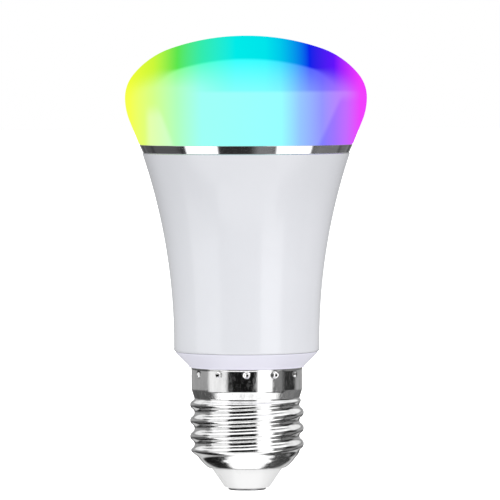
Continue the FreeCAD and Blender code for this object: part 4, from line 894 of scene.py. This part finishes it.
# each with its brightness, its span round the bulb (0 is the viewer, 90 the right), its span in
# height, all in degrees, and the softness of its edges
studio = [
    # seen in upright metal, from the left round to the right
    soft_box(0.46, (-180, -87), LEVEL_BACK, 4.0),
    soft_box(1.2, (-87, -41), LEVEL),
    soft_box(2.0, (22, 55), LEVEL),
    soft_box(0.28, (57, 81), LEVEL, 8.0),
    soft_box(0.02, (80, 121), LEVEL, 5.0),
    soft_box(0.5, (121, 180), LEVEL_BACK, 5.0),
    # seen in metal that faces down, such as the trim band
    soft_box(0.11, (-160, -132), (-21, -7), 3.0),
    soft_box(0.12, (-132, -82), (-37, -7), 3.0),
    soft_box(2.2, (-82, -39), (-55, -31), 2.0),
    soft_box(0.03, (-39, 42), (-55, -42), 2.0),
    soft_box(0.28, (12, 42), (-58, -44), 9.0),
    soft_box(2.2, (42, 89), (-55, -31), 2.0),
    soft_box(0.24, (89, 132), (-37, -7), 3.0),
    soft_box(0.20, (132, 158), (-21, -7), 3.0),
    soft_box(0.07, (100, 152), (-60, -33), 5.0),
    soft_box(1.6, (-39, 42), (-42, -25), 2.0),
    soft_box(0.8, (152, 180), (-66, -16), 5.0),
    soft_box(0.8, (-180, -152), (-66, -16), 5.0),
    # overhead and underfoot
    soft_box(1.8, (-110, -41), (30, 100), 5.0),
    soft_box(1.8, (-41, 22), (42, 100), 5.0),
    soft_box(1.8, (22, 110), (30, 100), 5.0),
    soft_box(1.2, (110, 180), (16, 100), 5.0),
    soft_box(1.2, (-180, -110), (16, 100), 5.0),
    soft_box(1.7, (-100, 104), (-66, -56), 3.0),
    soft_box(1.7, (-200, 200), (-110, -66), 3.0),
]
total = 0.01
for part in studio:
    total = math_node(sky, "ADD", part, total)

# the even fill takes over for rays that left a dull surface
facing = math_node(sky, "MAXIMUM", to_front, 0.0)
fill = math_node(sky, "ADD", math_node(sky, "MULTIPLY", facing, 0.25), 1.1)
ray = node_of(sky, "ShaderNodeLightPath")
change = math_node(sky, "SUBTRACT", fill, total)
change = math_node(sky, "MULTIPLY", ray.outputs["Is Diffuse Ray"], change)
total = math_node(sky, "ADD", total, change)
lit = node_of(sky, "ShaderNodeBackground")
sky.links.new(total, lit.inputs["Strength"])
plain = set_inputs(node_of(sky, "ShaderNodeBackground"), Color=(1, 1, 1, 1), Strength=1.0)
choose = node_of(sky, "ShaderNodeMixShader")
sky.links.new(ray.outputs["Is Camera Ray"], choose.inputs[0])
sky.links.new(lit.outputs[0], choose.inputs[1])
sky.links.new(plain.outputs[0], choose.inputs[2])
sky.links.new(choose.outputs[0], node_of(sky, "ShaderNodeOutputWorld").inputs[0])
world.cycles.sampling_method = "NONE"

# %% Lamps
for name, turn, lift, size, power, tint in (
    ("left lamp", -40, 30, 0.5, 0.8, (0.88, 0.98, 1.0)),
    ("right lamp", 50, 25, 0.6, 1.75, (1.0, 0.98, 1.0)),
):
    lamp = bpy.data.lights.new(name, "AREA")
    lamp.color = tint
    lamp.size = size
    lamp.energy = power
    holder = bpy.data.objects.new(name, lamp)
    turn, lift = math.radians(turn), math.radians(lift)
    away = Vector((math.sin(turn), -math.cos(turn), math.tan(lift)))
    holder.location = Vector((0, 0, 0.06)) + away * 1.1
    holder.rotation_euler = (-away).to_track_quat("-Z", "Y").to_euler()
    holder.visible_glossy = False
    bpy.context.scene.collection.objects.link(holder)
    print(name, "at", [round(c, 2) for c in holder.location])

# %% Camera
DISTANCE = 1.25
FIELD = 0.11507  # width of the view where it is aimed
ASIDE, EYE_HEIGHT, AIM_HEIGHT = 0.00082, 0.100, 0.0552
ROLL = -0.18
eye = Vector((ASIDE, -DISTANCE, EYE_HEIGHT))
aim = Vector((ASIDE, 0.0, AIM_HEIGHT))
lens = bpy.data.cameras.new("camera")
lens.sensor_width = 36.0
lens.lens = lens.sensor_width * (aim - eye).length / FIELD
camera = bpy.data.objects.new("camera", lens)
camera.location = eye
camera.rotation_euler = (aim - eye).to_track_quat("-Z", "Y").to_euler()
camera.rotation_euler.rotate_axis("Z", math.radians(ROLL))
bpy.context.scene.collection.objects.link(camera)
bpy.context.scene.camera = camera
bpy.context.scene.view_settings.view_transform = "Standard"
print(f"lens {lens.lens:.0f} mm at {DISTANCE} m")
